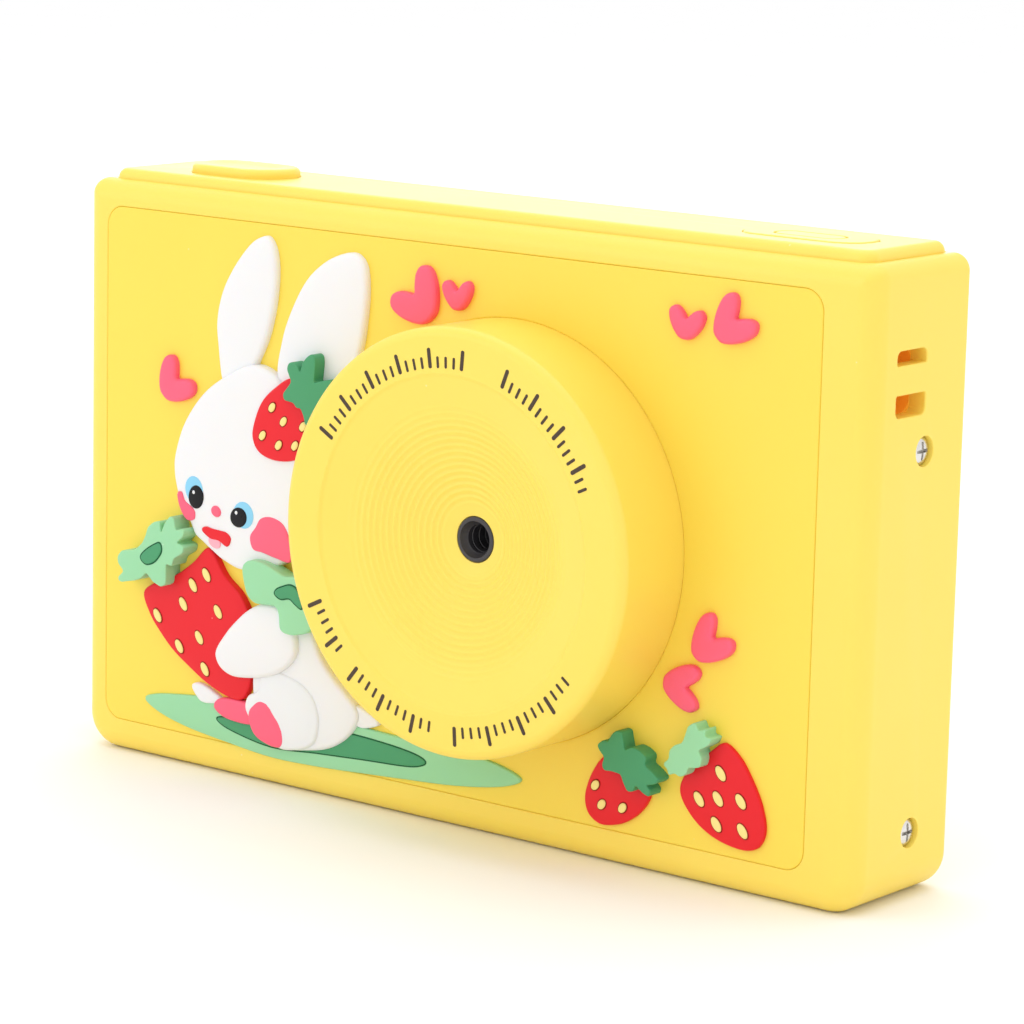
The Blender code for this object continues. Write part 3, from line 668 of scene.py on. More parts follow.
class Effects:
    """Shader groups that several finishes share, each built once."""

    def __init__(self) -> None:
        """Build every group."""
        self.grain = self._grain()
        self.drift = self._drift()
        self.dust = self._dust()
        self.edge = self._edge()

    @staticmethod
    def _group(
        name: str, inputs: dict[str, float | Colour], outputs: dict[str, str]
    ) -> tuple[NodeSheet, bpy.types.Node, bpy.types.Node]:
        """Start a group.

        Args:
            name: Name of the group.
            inputs: Names and default values of its inputs.
            outputs: Names and socket types of its outputs.

        Returns:
            The group's sheet, its input node and its output node.
        """
        tree = bpy.data.node_groups.new(name, "ShaderNodeTree")
        for label, value in inputs.items():
            kind = "NodeSocketFloat" if isinstance(value, float) else "NodeSocketColor"
            socket = tree.interface.new_socket(label, in_out="INPUT", socket_type=kind)
            socket.default_value = value if isinstance(value, float) else (*value, 1.0)
        for label, kind in outputs.items():
            tree.interface.new_socket(label, in_out="OUTPUT", socket_type=kind)
        sheet = NodeSheet(tree)
        return sheet, sheet.add("NodeGroupInput"), sheet.add("NodeGroupOutput")

    def _grain(self) -> bpy.types.NodeTree:
        """Fine texture of a moulded surface, with a faint waviness, as a height.

        Returns:
            The group.
        """
        sheet, source, result = self._group(
            "moulded_grain", {"Scale": 5000.0, "Waviness": 0.5}, {"Height": "NodeSocketFloat"}
        )
        place = sheet.add("ShaderNodeTexCoord").outputs["Object"]
        fine = sheet.add(
            "ShaderNodeTexNoise", {"Vector": place, "Scale": source.outputs["Scale"], "Detail": 3.0}
        )
        wave = sheet.add("ShaderNodeTexNoise", {"Vector": place, "Scale": 140.0, "Detail": 2.0})
        swell = sheet.maths("MULTIPLY", wave.outputs[0], source.outputs["Waviness"])
        sheet.tree.links.new(sheet.maths("ADD", fine.outputs[0], swell), result.inputs["Height"])
        return sheet.tree

    def _drift(self) -> bpy.types.NodeTree:
        """Slight cloudy change of a colour over the surface.

        Returns:
            The group.
        """
        sheet, source, result = self._group(
            "colour_drift",
            {"Colour": (0.8, 0.8, 0.8), "Deeper": (0.7, 0.7, 0.7), "Amount": 0.3, "Scale": 60.0},
            {"Colour": "NodeSocketColor"},
        )
        place = sheet.add("ShaderNodeTexCoord").outputs["Object"]
        cloud = sheet.add(
            "ShaderNodeTexNoise", {"Vector": place, "Scale": source.outputs["Scale"], "Detail": 3.0}
        )
        share = sheet.maths("MULTIPLY", cloud.outputs[0], source.outputs["Amount"], clamp=True)
        colour = sheet.mixed(share, source.outputs["Colour"], source.outputs["Deeper"])
        sheet.tree.links.new(colour, result.inputs["Colour"])
        return sheet.tree

    def _dust(self) -> bpy.types.NodeTree:
        """Rare tiny specks, as a mask.

        Returns:
            The group.
        """
        sheet, source, result = self._group(
            "dust_specks", {"Amount": 0.1, "Scale": 900.0}, {"Mask": "NodeSocketFloat"}
        )
        place = sheet.add("ShaderNodeTexCoord").outputs["Object"]
        cells = sheet.add("ShaderNodeTexVoronoi", {"Vector": place, "Scale": source.outputs["Scale"]})
        near = sheet.maths("LESS_THAN", cells.outputs["Distance"], 0.09)
        parts = sheet.add("ShaderNodeSeparateColor", {0: cells.outputs["Color"]})
        chosen = sheet.maths("LESS_THAN", parts.outputs[0], source.outputs["Amount"])
        sheet.tree.links.new(sheet.maths("MULTIPLY", near, chosen), result.inputs["Mask"])
        return sheet.tree

    def _edge(self) -> bpy.types.NodeTree:
        """Edges that handling has polished, as a mask.

        Returns:
            The group.
        """
        sheet, source, result = self._group("rubbed_edge", {"Sharpness": 6.0}, {"Mask": "NodeSocketFloat"})
        bend = sheet.add("ShaderNodeNewGeometry").outputs["Pointiness"]
        above = sheet.maths("SUBTRACT", bend, 0.51)
        mask = sheet.maths("MULTIPLY", above, source.outputs["Sharpness"], clamp=True)
        sheet.tree.links.new(mask, result.inputs["Mask"])
        return sheet.tree


@dataclass(frozen=True)
class Finish:
    """Moulded plastic or soft vinyl.

    Attributes:
        colour: Base colour.
        deeper: Colour of the cloudy patches.
        roughness: Roughness away from the rubbed edges.
        grain: Depth of the fine texture, in metres.
        grain_scale: Fineness of the texture, in cells a metre.
        drift: How strongly the cloudy patches show.
        dust: Share of cells that hold a speck.
        subsurface: Share of light that passes under the surface.
        coat: Clear gloss over the surface.
        specular: Strength of the plain highlight.
        glow: Emission that paints in light scattered back out of a deep translucent recess.
    """

    colour: Colour
    deeper: Colour
    roughness: float
    grain: float = 4e-6
    grain_scale: float = 5000.0
    drift: float = 0.35
    dust: float = 0.012
    subsurface: float = 0.0
    coat: float = 0.0
    specular: float = 0.5
    glow: float = 0.0

    def build(self, name: str, effects: Effects) -> bpy.types.Material:
        """Make the material.

        Args:
            name: Name of the material.
            effects: Shared shader groups.

        Returns:
            The material.
        """
        material = bpy.data.materials.new(name)
        material.use_nodes = True
        sheet = NodeSheet(material.node_tree)
        shader = material.node_tree.nodes["Principled BSDF"]
        shader.inputs["Subsurface Weight"].default_value = self.subsurface
        shader.inputs["Subsurface Radius"].default_value = (1.0, 0.55, 0.25)
        shader.inputs["Subsurface Scale"].default_value = 0.8 * MM
        shader.inputs["Specular IOR Level"].default_value = self.specular
        shader.inputs["Coat Weight"].default_value = self.coat
        shader.inputs["Coat Roughness"].default_value = 0.12
        # Emission paints in light, and it is zero unless a finish sets its glow above zero.
        shader.inputs["Emission Color"].default_value = (*self.colour, 1.0)
        shader.inputs["Emission Strength"].default_value = self.glow
        self._colour(sheet, shader, effects)
        self._surface(sheet, shader, effects)
        return material

    def _colour(self, sheet: NodeSheet, shader: bpy.types.Node, effects: Effects) -> None:
        """Give the shader a cloudy colour with a few pale specks.

        Args:
            sheet: Sheet of the material.
            shader: Principled shader of the material.
            effects: Shared shader groups.
        """
        base, deeper = (*self.colour, 1.0), (*self.deeper, 1.0)
        clouds = {"Colour": base, "Deeper": deeper, "Amount": self.drift, "Scale": 60.0}
        drift = sheet.grouped(effects.drift, clouds)
        dust = sheet.grouped(effects.dust, {"Amount": self.dust, "Scale": 900.0})
        pale = tuple(min(1.0, c * 0.6 + 0.4) for c in self.colour)
        share = sheet.maths("MULTIPLY", dust.outputs["Mask"], 0.5)
        colour = sheet.mixed(share, drift.outputs["Colour"], (*pale, 1.0))
        sheet.tree.links.new(colour, shader.inputs["Base Color"])

    def _surface(self, sheet: NodeSheet, shader: bpy.types.Node, effects: Effects) -> None:
        """Give the shader its grain as a bump, and a smoother shine on rubbed edges.

        Args:
            sheet: Sheet of the material.
            shader: Principled shader of the material.
            effects: Shared shader groups.
        """
        grain = sheet.grouped(effects.grain, {"Scale": self.grain_scale, "Waviness": 0.5})
        normal = sheet.bumped(grain.outputs["Height"], self.grain)
        sheet.tree.links.new(normal, shader.inputs["Normal"])
        edge = sheet.grouped(effects.edge, {"Sharpness": 6.0})
        polished = sheet.maths("MULTIPLY", edge.outputs["Mask"], -0.3 * self.roughness)
        uneven = sheet.maths("MULTIPLY_ADD", grain.outputs["Height"], 0.06, self.roughness - 0.045)
        sheet.tree.links.new(sheet.maths("ADD", uneven, polished, clamp=True), shader.inputs["Roughness"])


@dataclass(frozen=True)
class Metal:
    """Plated or stamped metal.

    Attributes:
        colour: Base colour.
        roughness: Roughness of the clean surface.
        brushed: Depth of the fine scratches, in metres.
    """

    colour: Colour
    roughness: float
    brushed: float = 3e-6

    def build(self, name: str, effects: Effects) -> bpy.types.Material:
        """Make the material with fine scratches and a little tarnish.

        Args:
            name: Name of the material.
            effects: Shared shader groups.

        Returns:
            The material.
        """
        material = bpy.data.materials.new(name)
        material.use_nodes = True
        sheet = NodeSheet(material.node_tree)
        shader = material.node_tree.nodes["Principled BSDF"]
        shader.inputs["Metallic"].default_value = 1.0
        grain = sheet.grouped(effects.grain, {"Scale": 9000.0, "Waviness": 1.0})
        dull = tuple(c * 0.8 for c in self.colour)
        tarnish = {"Colour": (*self.colour, 1.0), "Deeper": (*dull, 1.0), "Amount": 0.6, "Scale": 800.0}
        drift = sheet.grouped(effects.drift, tarnish)
        uneven = sheet.maths("MULTIPLY_ADD", grain.outputs["Height"], 0.1, self.roughness - 0.07)
        sheet.tree.links.new(drift.outputs["Colour"], shader.inputs["Base Color"])
        sheet.tree.links.new(uneven, shader.inputs["Roughness"])
        sheet.tree.links.new(sheet.bumped(grain.outputs["Height"], self.brushed), shader.inputs["Normal"])
        return material


SHELL_YELLOW = (0.955, 0.725, 0.12)
SOFT_YELLOW = (0.955, 0.71, 0.085)
DEEP_YELLOW = (0.93, 0.65, 0.06)
# Painted shade: deep orange that stands in for the shaded recess of the strap slot.
SLOT_PAINTED_SHADE_ORANGE = (0.95, 0.42, 0.03)

FINISHES: dict[Slot, Finish | Metal] = {
    Slot.YELLOW_SHELL: Finish(SHELL_YELLOW, DEEP_YELLOW, 0.42, subsurface=0.12),
    Slot.YELLOW_SOFT: Finish(SOFT_YELLOW, DEEP_YELLOW, 0.5, grain=5e-6, subsurface=0.12),
    Slot.KEY_PLASTIC: Finish((0.93, 0.83, 0.42), (0.9, 0.78, 0.34), 0.38),
    Slot.BLACK_PLASTIC: Finish((0.04, 0.036, 0.04), (0.03, 0.03, 0.033), 0.42, drift=0.6),
    Slot.LENS_GLASS: Finish((0.05, 0.06, 0.09), (0.04, 0.03, 0.08), 0.06, grain=0.0, dust=0.0, coat=1.0),
    Slot.SENSOR: Finish((0.05, 0.09, 0.12), (0.08, 0.05, 0.12), 0.15, grain=1e-6, dust=0.0),
    Slot.SCREEN_GLASS: Finish((0.008, 0.008, 0.01), (0.012, 0.012, 0.016), 0.08, grain=0.0, specular=0.35),
    Slot.DISPLAY: Finish((0.05, 0.05, 0.06), (0.12, 0.12, 0.13), 0.25, grain=1e-6),
    Slot.SCREW_STEEL: Metal((0.78, 0.76, 0.73), 0.24),
    Slot.METAL_CAN: Metal((0.66, 0.66, 0.67), 0.34, brushed=5e-6),
    Slot.CIRCUIT_BOARD: Finish((0.02, 0.2, 0.07), (0.03, 0.32, 0.12), 0.3, drift=0.9, coat=0.4),
    Slot.CHIP: Finish((0.03, 0.03, 0.033), (0.05, 0.05, 0.055), 0.5, drift=0.6),
    Slot.BATTERY_WRAP: Metal((0.7, 0.7, 0.71), 0.38, brushed=1e-5),
    Slot.GREY_RUBBER: Finish((0.28, 0.28, 0.29), (0.22, 0.22, 0.23), 0.65),
    Slot.SOFT_WHITE: Finish((0.84, 0.835, 0.84), (0.8, 0.79, 0.8), 0.48, subsurface=0.15, specular=0.3),
    Slot.SOFT_PINK: Finish((0.96, 0.13, 0.22), (0.93, 0.1, 0.18), 0.46, subsurface=0.1, specular=0.3),
    Slot.SOFT_RED: Finish((0.8, 0.01, 0.02), (0.73, 0.008, 0.016), 0.42, subsurface=0.05, specular=0.3),
    Slot.MINT_GREEN: Finish((0.33, 0.68, 0.39), (0.28, 0.62, 0.33), 0.48, subsurface=0.1, specular=0.3),
    Slot.LEAF_GREEN: Finish((0.07, 0.33, 0.15), (0.05, 0.28, 0.12), 0.46, subsurface=0.05, specular=0.3),
}

TRIM: dict[str, tuple[Slot, Finish]] = {
    "seed_cream": (Slot.KEY_PLASTIC, Finish((0.93, 0.76, 0.27), (0.9, 0.7, 0.2), 0.45)),
    # Dark red rim round each seed: painted shadow of the narrow gap round the seed.
    "seed_painted_shadow_rim": (Slot.SOFT_RED, Finish((0.25, 0.012, 0.008), (0.18, 0.01, 0.006), 0.6, specular=0.1)),
    "eye_black": (
        Slot.BLACK_PLASTIC,
        Finish((0.006, 0.006, 0.008), (0.01, 0.01, 0.012), 0.35, specular=0.2),
    ),
    "eye_blue": (Slot.MINT_GREEN, Finish((0.25, 0.62, 0.85), (0.2, 0.55, 0.8), 0.45)),
    "tongue_pink": (Slot.SOFT_PINK, Finish((0.95, 0.42, 0.5), (0.93, 0.36, 0.46), 0.4)),
    "dark_line": (Slot.LEAF_GREEN, Finish((0.02, 0.12, 0.05), (0.015, 0.09, 0.04), 0.6, specular=0.1)),
    "brown_ink": (
        Slot.BLACK_PLASTIC,
        Finish((0.045, 0.022, 0.008), (0.06, 0.03, 0.01), 0.45, grain=1e-6, dust=0.0),
    ),
    # Strap-slot liner: deep orange painted shade of the recess, with emission as painted light.
    "slot_painted_shade_glow": (Slot.YELLOW_SHELL, Finish(SLOT_PAINTED_SHADE_ORANGE, (0.93, 0.36, 0.02), 0.6, glow=0.1)),
    "key_mark": (Slot.BLACK_PLASTIC, Finish((0.12, 0.1, 0.08), (0.1, 0.08, 0.06), 0.45, grain=1e-6)),
}


# ------------------------------------------------------------------ workshop


class Workshop:
    """Dresses meshes and hands them to the bodies that they ride on."""

    def __init__(self) -> None:
        """Make every finish."""
        effects = Effects()
        self.materials = {slot.value: look.build(slot.value, effects) for slot, look in FINISHES.items()}
        self.slots = {slot.value: slot for slot in Slot}
        for name, (slot, look) in TRIM.items():
            self.materials[name] = look.build(name, effects)
            self.slots[name] = slot
        self.made: list[str] = []

    def piece(
        self,
        name: str,
        shape: Solid | bpy.types.Mesh,
        finish: str,
        body: str = "root",
        replaces: Sequence[str] = (),
        crease: float = 34.0,
        even: bool = True,
    ) -> bpy.types.Object:
        """Turn a mesh into a piece of the camera.

        Args:
            name: Name of the piece.
            shape: Its mesh in world coordinates.
            finish: Name of its finish.
            body: Body that it rides on.
            replaces: CAD nodes that it stands for.
            crease: Edges that bend more than this many degrees stay sharp.
            even: Weight normals by face area, for flat faces beside round rims.

        Returns:
            The object.
        """
        if isinstance(shape, Solid):
            mesh = bpy.data.meshes.new(name)
            shape.to_mesh(mesh)
            shape.free()
        else:
            mesh = shape
        mesh.name = name
        mesh.shade_smooth()
        mesh.set_sharp_from_angle(angle=math.radians(crease))
        mesh.materials.clear()
        mesh.materials.append(self.materials[finish])
        obj = bpy.data.objects.new(name, mesh)
        bpy.context.scene.collection.objects.link(obj)
        if even:
            modifier = obj.modifiers.new("even_normals", "WEIGHTED_NORMAL")
            modifier.keep_sharp = True
            modifier.weight = 80
        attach(obj, body)
        if replaces:
            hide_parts(*replaces)
        self.made.append(name)
        LOG.info("%s: %d faces, rides on %s", name, len(mesh.polygons), body)
        return obj

    def dress(self, obj: bpy.types.Object, finish: str) -> None:
        """Give a CAD node its finish."""
        obj.data.materials.clear()
        obj.data.materials.append(self.materials[finish])


# ------------------------------------------------------------------ housing


@dataclass
class Housing:
    """One-piece front, sides, top and bottom, with its seats, slots and holes.

    Attributes:
        low: Lowest corner of the housing.
        high: Highest corner of the housing.
        upper_corner: Radius of the upper corners, seen from the front.
        lower_corner: Radius of the lower corners.
        front_fillet: Rounding of the front edges.
        back_fillet: Rounding of the back edges.
        side_wall: Thickness of the sides and the bottom.
        top_wall: Thickness of the top.
        front_wall: Thickness of the front.
        gap: Clearance round the parts that are let in.
        lip: Rounding of the edges round those parts.
        optics_hole: Radius of the hole behind the lens ring.
        stem_hole: Radius of the holes of the button stems.
        screw_seat: Radius of the recess of a side screw.
        screw_hole: Radius of the hole of a side screw.
        slot_y: Front and back of the strap slot.
        slot_z: Bottom and top of the strap slot.
        bar_z: Bottom and top of the bar across it.
        slot_depth: Depth of the strap slot.
    """

    low: Vector
    high: Vector
    upper_corner: float = 1.6 * MM
    lower_corner: float = 3.6 * MM
    front_fillet: float = 2.1 * MM
    back_fillet: float = 1.0 * MM
    side_wall: float = 1.8 * MM
    top_wall: float = 2.6 * MM
    front_wall: float = 2.4 * MM
    gap: float = 0.01 * MM
    lip: float = 0.17 * MM
    optics_hole: float = 8.0 * MM
    stem_hole: float = 2.3 * MM
    screw_seat: float = 1.39 * MM
    screw_hole: float = 1.1 * MM
    slot_y: Point = (-4.1 * MM, 0.6 * MM)
    slot_z: Point = (44.8 * MM, 50.75 * MM)
    bar_z: Point = (46.8 * MM, 49.45 * MM)
    slot_depth: float = 2.9 * MM

    def build(self, workshop: Workshop, panel: FrontPanel, plate: TopPlate) -> None:
        """Build the housing.

        Args:
            workshop: Maker of the pieces.
            panel: Front panel that is let in.
            plate: Top plate that is let in.
        """
        cutters = [self._cavity(), *self._front_seat(panel), *self._top_seat(plate)]
        cutters += [*self._strap_slot(), *self._screw_seats(), *self._mouths()]
        mesh = carved(self._outer(), cutters)
        workshop.piece("housing", mesh, "yellow_shell", replaces=["main_shell"])
        # The liner's finish is painted shade of the slot's recess, and its emission is painted light.
        workshop.piece("slot_liner", self._slot_liner(), "slot_painted_shade_glow")

    def _outer(self) -> Solid:
        """Solid outer form with a large front rounding and a small one at the back.

        Returns:
            The solid.
        """
        size = self.high - self.low
        centre = ((self.low.x + self.high.x) / 2, (self.low.z + self.high.z) / 2)
        sections: list[tuple[Outline, float]] = []
        ends = ((self.low.y, self.front_fillet, 1), (self.high.y, self.back_fillet, -1))
        for level, fillet, side in ends:
            for step in range(11):
                turn = (step if side > 0 else 10 - step) * math.pi / 20
                inset = fillet * (1 - math.sin(turn))
                upper, lower = (max(0.1 * MM, c - inset) for c in (self.upper_corner, self.lower_corner))
                width, height = size.x - 2 * inset, size.z - 2 * inset
                outline = rounded_rectangle(centre, width, height, upper, lower, 12)
                sections.append((outline, level + side * fillet * (1 - math.cos(turn))))
        return loft(sections, Axis.Y)

    def _cavity(self) -> Solid:
        """Room for the works, open at the back.

        Returns:
            The cutter.
        """
        low_z, high_z = self.low.z + self.side_wall, self.high.z - self.top_wall
        width = self.high.x - self.low.x - 2 * self.side_wall
        outline = rounded_rectangle((0.0, (low_z + high_z) / 2), width, high_z - low_z, 2.5 * MM, steps=6)
        return flared_cutter(outline, Axis.Y, self.low.y + self.front_wall, self.high.y, 0.15 * MM)

    def _front_seat(self, panel: FrontPanel) -> list[Solid]:
        """Shallow seat of the panel, and the hole that the optics pass through.

        Args:
            panel: Front panel.

        Returns:
            The cutters.
        """
        seat = flared_cutter(
            grown(panel.outline(), self.gap), Axis.Y, self.low.y + panel.seat_depth, self.low.y, self.lip
        )
        hole = circle(panel.ring_centre, self.optics_hole)
        return [seat, loft([(hole, self.low.y - MM), (hole, -4 * MM)], Axis.Y)]

    def _top_seat(self, plate: TopPlate) -> list[Solid]:
        """Seat of the top plate, and the holes of the two button stems.

        Args:
            plate: Top plate.

        Returns:
            The cutters.
        """
        seat = flared_cutter(grown(plate.outline(), self.gap), Axis.Z, plate.seat_z, self.high.z, self.lip)
        holes = []
        for button in (plate.shutter, plate.power):
            hole = circle((button.centre.x, button.centre.y), self.stem_hole, 24)
            holes.append(loft([(hole, self.high.z - 4 * MM), (hole, self.high.z + MM)], Axis.Z))
        return [seat, *holes]

    def _strap_slot(self) -> list[Solid]:
        """Two mouths with round outer ends that meet behind the bar.

        Returns:
            The cutters.
        """
        middle_y, width = sum(self.slot_y) / 2, self.slot_y[1] - self.slot_y[0]
        back_x = self.high.x - self.slot_depth
        tunnel = rounded_rectangle(
            (middle_y, sum(self.slot_z) / 2), width, self.slot_z[1] - self.slot_z[0], 1.5 * MM, steps=6
        )
        cutters = [loft([(tunnel, back_x), (tunnel, self.high.x - 1.4 * MM)], Axis.X)]
        round_end, flat_end = 0.64 * MM, 0.2 * MM
        for low, high, upper, lower in (
            (self.bar_z[1], self.slot_z[1], round_end, flat_end),
            (self.slot_z[0], self.bar_z[0], flat_end, round_end),
        ):
            mouth = rounded_rectangle((middle_y, (low + high) / 2), width, high - low, upper, lower, 8)
            cutters.append(flared_cutter(mouth, Axis.X, back_x + 0.4 * MM, self.high.x, 0.15 * MM))
        return cutters

    def _slot_liner(self) -> bpy.types.Mesh:
        """Cup behind the mouths of the strap slot.

        Returns:
            The cup.
        """
        margin = 0.6 * MM
        back_x, wall_x = self.high.x - self.slot_depth, self.high.x - self.side_wall
        cup = block(
            (back_x - margin, self.slot_y[0] - margin, self.slot_z[0] - margin),
            (wall_x + 0.05 * MM, self.slot_y[1] + margin, self.slot_z[1] + margin),
        )
        return carved(cup, self._strap_slot()[:1])

    def _screw_seats(self) -> list[Solid]:
        """Recess and hole for each side screw.

        Returns:
            The cutters.
        """
        cutters = []
        for node in SideScrew.NODES:
            low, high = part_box(node)
            side = 1.0 if low.x > 0 else -1.0
            wall = self.high.x if side > 0 else self.low.x
            centre = ((low.y + high.y) / 2, (low.z + high.z) / 2)
            seat = circle(centre, self.screw_seat, 36)
            cutters.append(flared_cutter(seat, Axis.X, wall - side * 1.3 * MM, wall, 0.1 * MM))
            hole = circle(centre, self.screw_hole, 20)
            levels = sorted((wall - side * 3 * MM, wall))
            cutters.append(loft([(hole, levels[0]), (hole, levels[1])], Axis.X))
        return cutters

    def _mouths(self) -> list[Solid]:
        """Openings of the charging socket, the memory card and the microphone.

        Returns:
            The cutters.
        """
        cutters = []
        inner = self.low.x + 3 * MM
        usb_low, usb_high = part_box("usb_port")
        centre = ((usb_low.y + usb_high.y) / 2, (usb_low.z + usb_high.z) / 2)
        cutters.append(flared_cutter(pill(centre, 3.8 * MM, 9.6 * MM), Axis.X, inner, self.low.x, 0.3 * MM))
        card_low, card_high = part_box("memory_card")
        centre = ((card_low.y + card_high.y) / 2, (card_low.z + card_high.z) / 2)
        mouth = rounded_rectangle(centre, 1.4 * MM, card_high.z - card_low.z + 0.6 * MM, 0.5 * MM, steps=4)
        cutters.append(flared_cutter(mouth, Axis.X, inner, self.low.x, 0.2 * MM))
        thumb = pill(centre, 3.0 * MM, 6.0 * MM)
        cutters.append(flared_cutter(thumb, Axis.X, self.low.x + 0.6 * MM, self.low.x, 0.3 * MM))
        microphone = circle((20 * MM, -2 * MM), 0.6 * MM, 20)
        cutters.append(flared_cutter(microphone, Axis.Z, 3 * MM, 0.0, 0.2 * MM))
        return cutters


@dataclass
class FrontPanel:
    """Soft panel let into the front, flush with it.

    Attributes:
        low: Lowest corner of the CAD panel.
        high: Highest corner of the CAD panel.
        ring_centre: Centre of the lens ring, across and up.
        ring_radius: Radius of the lens ring.
        corner: Radius of its corners.
        seat_depth: Depth of its seat.
        rim: Rounding of its edge.
    """

    low: Vector
    high: Vector
    ring_centre: Point
    ring_radius: float
    corner: float = 2.0 * MM
    seat_depth: float = 0.32 * MM
    rim: float = 0.17 * MM

    def outline(self) -> Outline:
        """Outer outline of the panel.

        Returns:
            The outline.
        """
        size = self.high - self.low
        centre = ((self.low.x + self.high.x) / 2, (self.low.z + self.high.z) / 2)
        return rounded_rectangle(centre, size.x, size.z, self.corner, steps=10)

    def build(self, workshop: Workshop) -> None:
        """Build the panel with its hole for the lens ring.

        Args:
            workshop: Maker of the pieces.
        """
        back = self.low.y + self.seat_depth - 0.02 * MM
        slab = rounded_slab(self.outline(), self.low.y, back, Axis.Y, low_rim=self.rim, steps=4)
        hole = circle(self.ring_centre, self.ring_radius - 0.03 * MM, 128)
        cutter = flared_cutter(hole, Axis.Y, self.low.y + MM, self.low.y, 0.16 * MM)
        workshop.piece("panel", carved(slab, [cutter]), "yellow_soft", replaces=["front_panel"])


@dataclass
class TopButton:
    """Pill-shaped button that slides in the top plate.

    Attributes:
        node: Name of its CAD node and body.
        low: Lowest corner of the CAD button.
        high: Highest corner of the CAD button.
        under_z: Level of the underside of its cap.
        rim: Rounding of the cap's edge.
    """

    node: str
    low: Vector
    high: Vector
    under_z: float
    rim: float

    @property
    def centre(self) -> Vector:
        """Middle of the button."""
        return (self.low + self.high) / 2

    def outline(self) -> Outline:
        """Outer outline of the cap, across and back."""
        size = self.high - self.low
        return pill((self.centre.x, self.centre.y), size.x, size.y, 16)

    def stem(self) -> Solid:
        """Stem with a collar that keeps the button in.

        Returns:
            The stem.
        """
        radius, collar, end = 2.0 * MM, 3.0 * MM, self.low.z
        top, ledge = self.under_z + 0.4 * MM, end + 0.7 * MM
        profile = [(0.0, top), (radius, top), (radius, ledge), (collar, ledge), (collar, end), (0.0, end)]
        return turned(profile, Axis.Z, self.centre, 32)


@dataclass
class TopPlate:
    """Raised plate along the top with openings for the buttons.

    Attributes:
        low: Lowest corner of the CAD plate.
        high: Highest corner of the CAD plate.
        shutter: Shutter button.
        power: Power button.
        corner: Radius of its corners, seen from above.
        rim: Rounding of its upper edge.
    """

    low: Vector
    high: Vector
    shutter: TopButton
    power: TopButton
    corner: float = 1.5 * MM
    rim: float = 0.95 * MM

    @property
    def seat_z(self) -> float:
        """Level of the seat under the plate."""
        return self.low.z - 0.3 * MM

    def outline(self) -> Outline:
        """Outer outline, across and back.

        Returns:
            The outline.
        """
        size = self.high - self.low
        centre = ((self.low.x + self.high.x) / 2, (self.low.y + self.high.y) / 2)
        return rounded_rectangle(centre, size.x, size.y, self.corner, steps=10)

    def build(self, workshop: Workshop) -> None:
        """Build the plate and the two buttons.

        Args:
            workshop: Maker of the pieces.
        """
        slab = rounded_slab(self.outline(), self.low.z, self.high.z, Axis.Z, high_rim=self.rim)
        cutters = []
        for button in (self.shutter, self.power):
            hole = grown(button.outline(), 0.06 * MM)
            cutters.append(flared_cutter(hole, Axis.Z, self.low.z - MM, self.high.z, 0.12 * MM))
        workshop.piece("upper_plate", carved(slab, cutters), "yellow_shell", replaces=["top_plate"])
        self._shutter(workshop)
        self._power(workshop)

    def _shutter(self, workshop: Workshop) -> None:
        """Shutter cap with a softly dished top.

        Args:
            workshop: Maker of the pieces.
        """
        button = self.shutter
        outline, top = button.outline(), button.high.z
        sections = [(outline, button.under_z), (outline, top - button.rim)]
        for step in range(1, 7):
            turn = step * math.pi / 12
            inset, drop = button.rim * (1 - math.cos(turn)), button.rim * (1 - math.sin(turn))
            sections.append((grown(outline, -inset), top - drop))
        for inset, drop in ((1.2, 0.0), (1.7, 0.06), (2.3, 0.14), (2.9, 0.19)):
            sections.append((grown(outline, -inset * MM), top - drop * MM))
        cap = merged([loft(sections, Axis.Z), button.stem()])
        workshop.piece("shutter_cap", cap, "yellow_shell", button.node, [button.node])

    def _power(self, workshop: Workshop) -> None:
        """Power cap with an engraved oval in its middle.

        Args:
            workshop: Maker of the pieces.
        """
        button = self.power
        cap = rounded_slab(button.outline(), button.under_z, button.high.z, Axis.Z, high_rim=button.rim)
        centre = (button.centre.x, button.centre.y)
        outer, inner = pill(centre, 7.4 * MM, 3.0 * MM), pill(centre, 7.0 * MM, 2.6 * MM)
        depth = button.high.z - 0.15 * MM
        groove = flared_cutter(outer, Axis.Z, depth, button.high.z, 0.1 * MM)
        workshop.piece("power_cap", carved(cap, [groove]), "yellow_shell", button.node, [button.node])
        island = rounded_slab(inner, depth - 0.1 * MM, button.high.z, Axis.Z, high_rim=0.15 * MM)
        workshop.piece("power_island", merged([island, button.stem()]), "yellow_shell", button.node)


# ------------------------------------------------------------------ lens


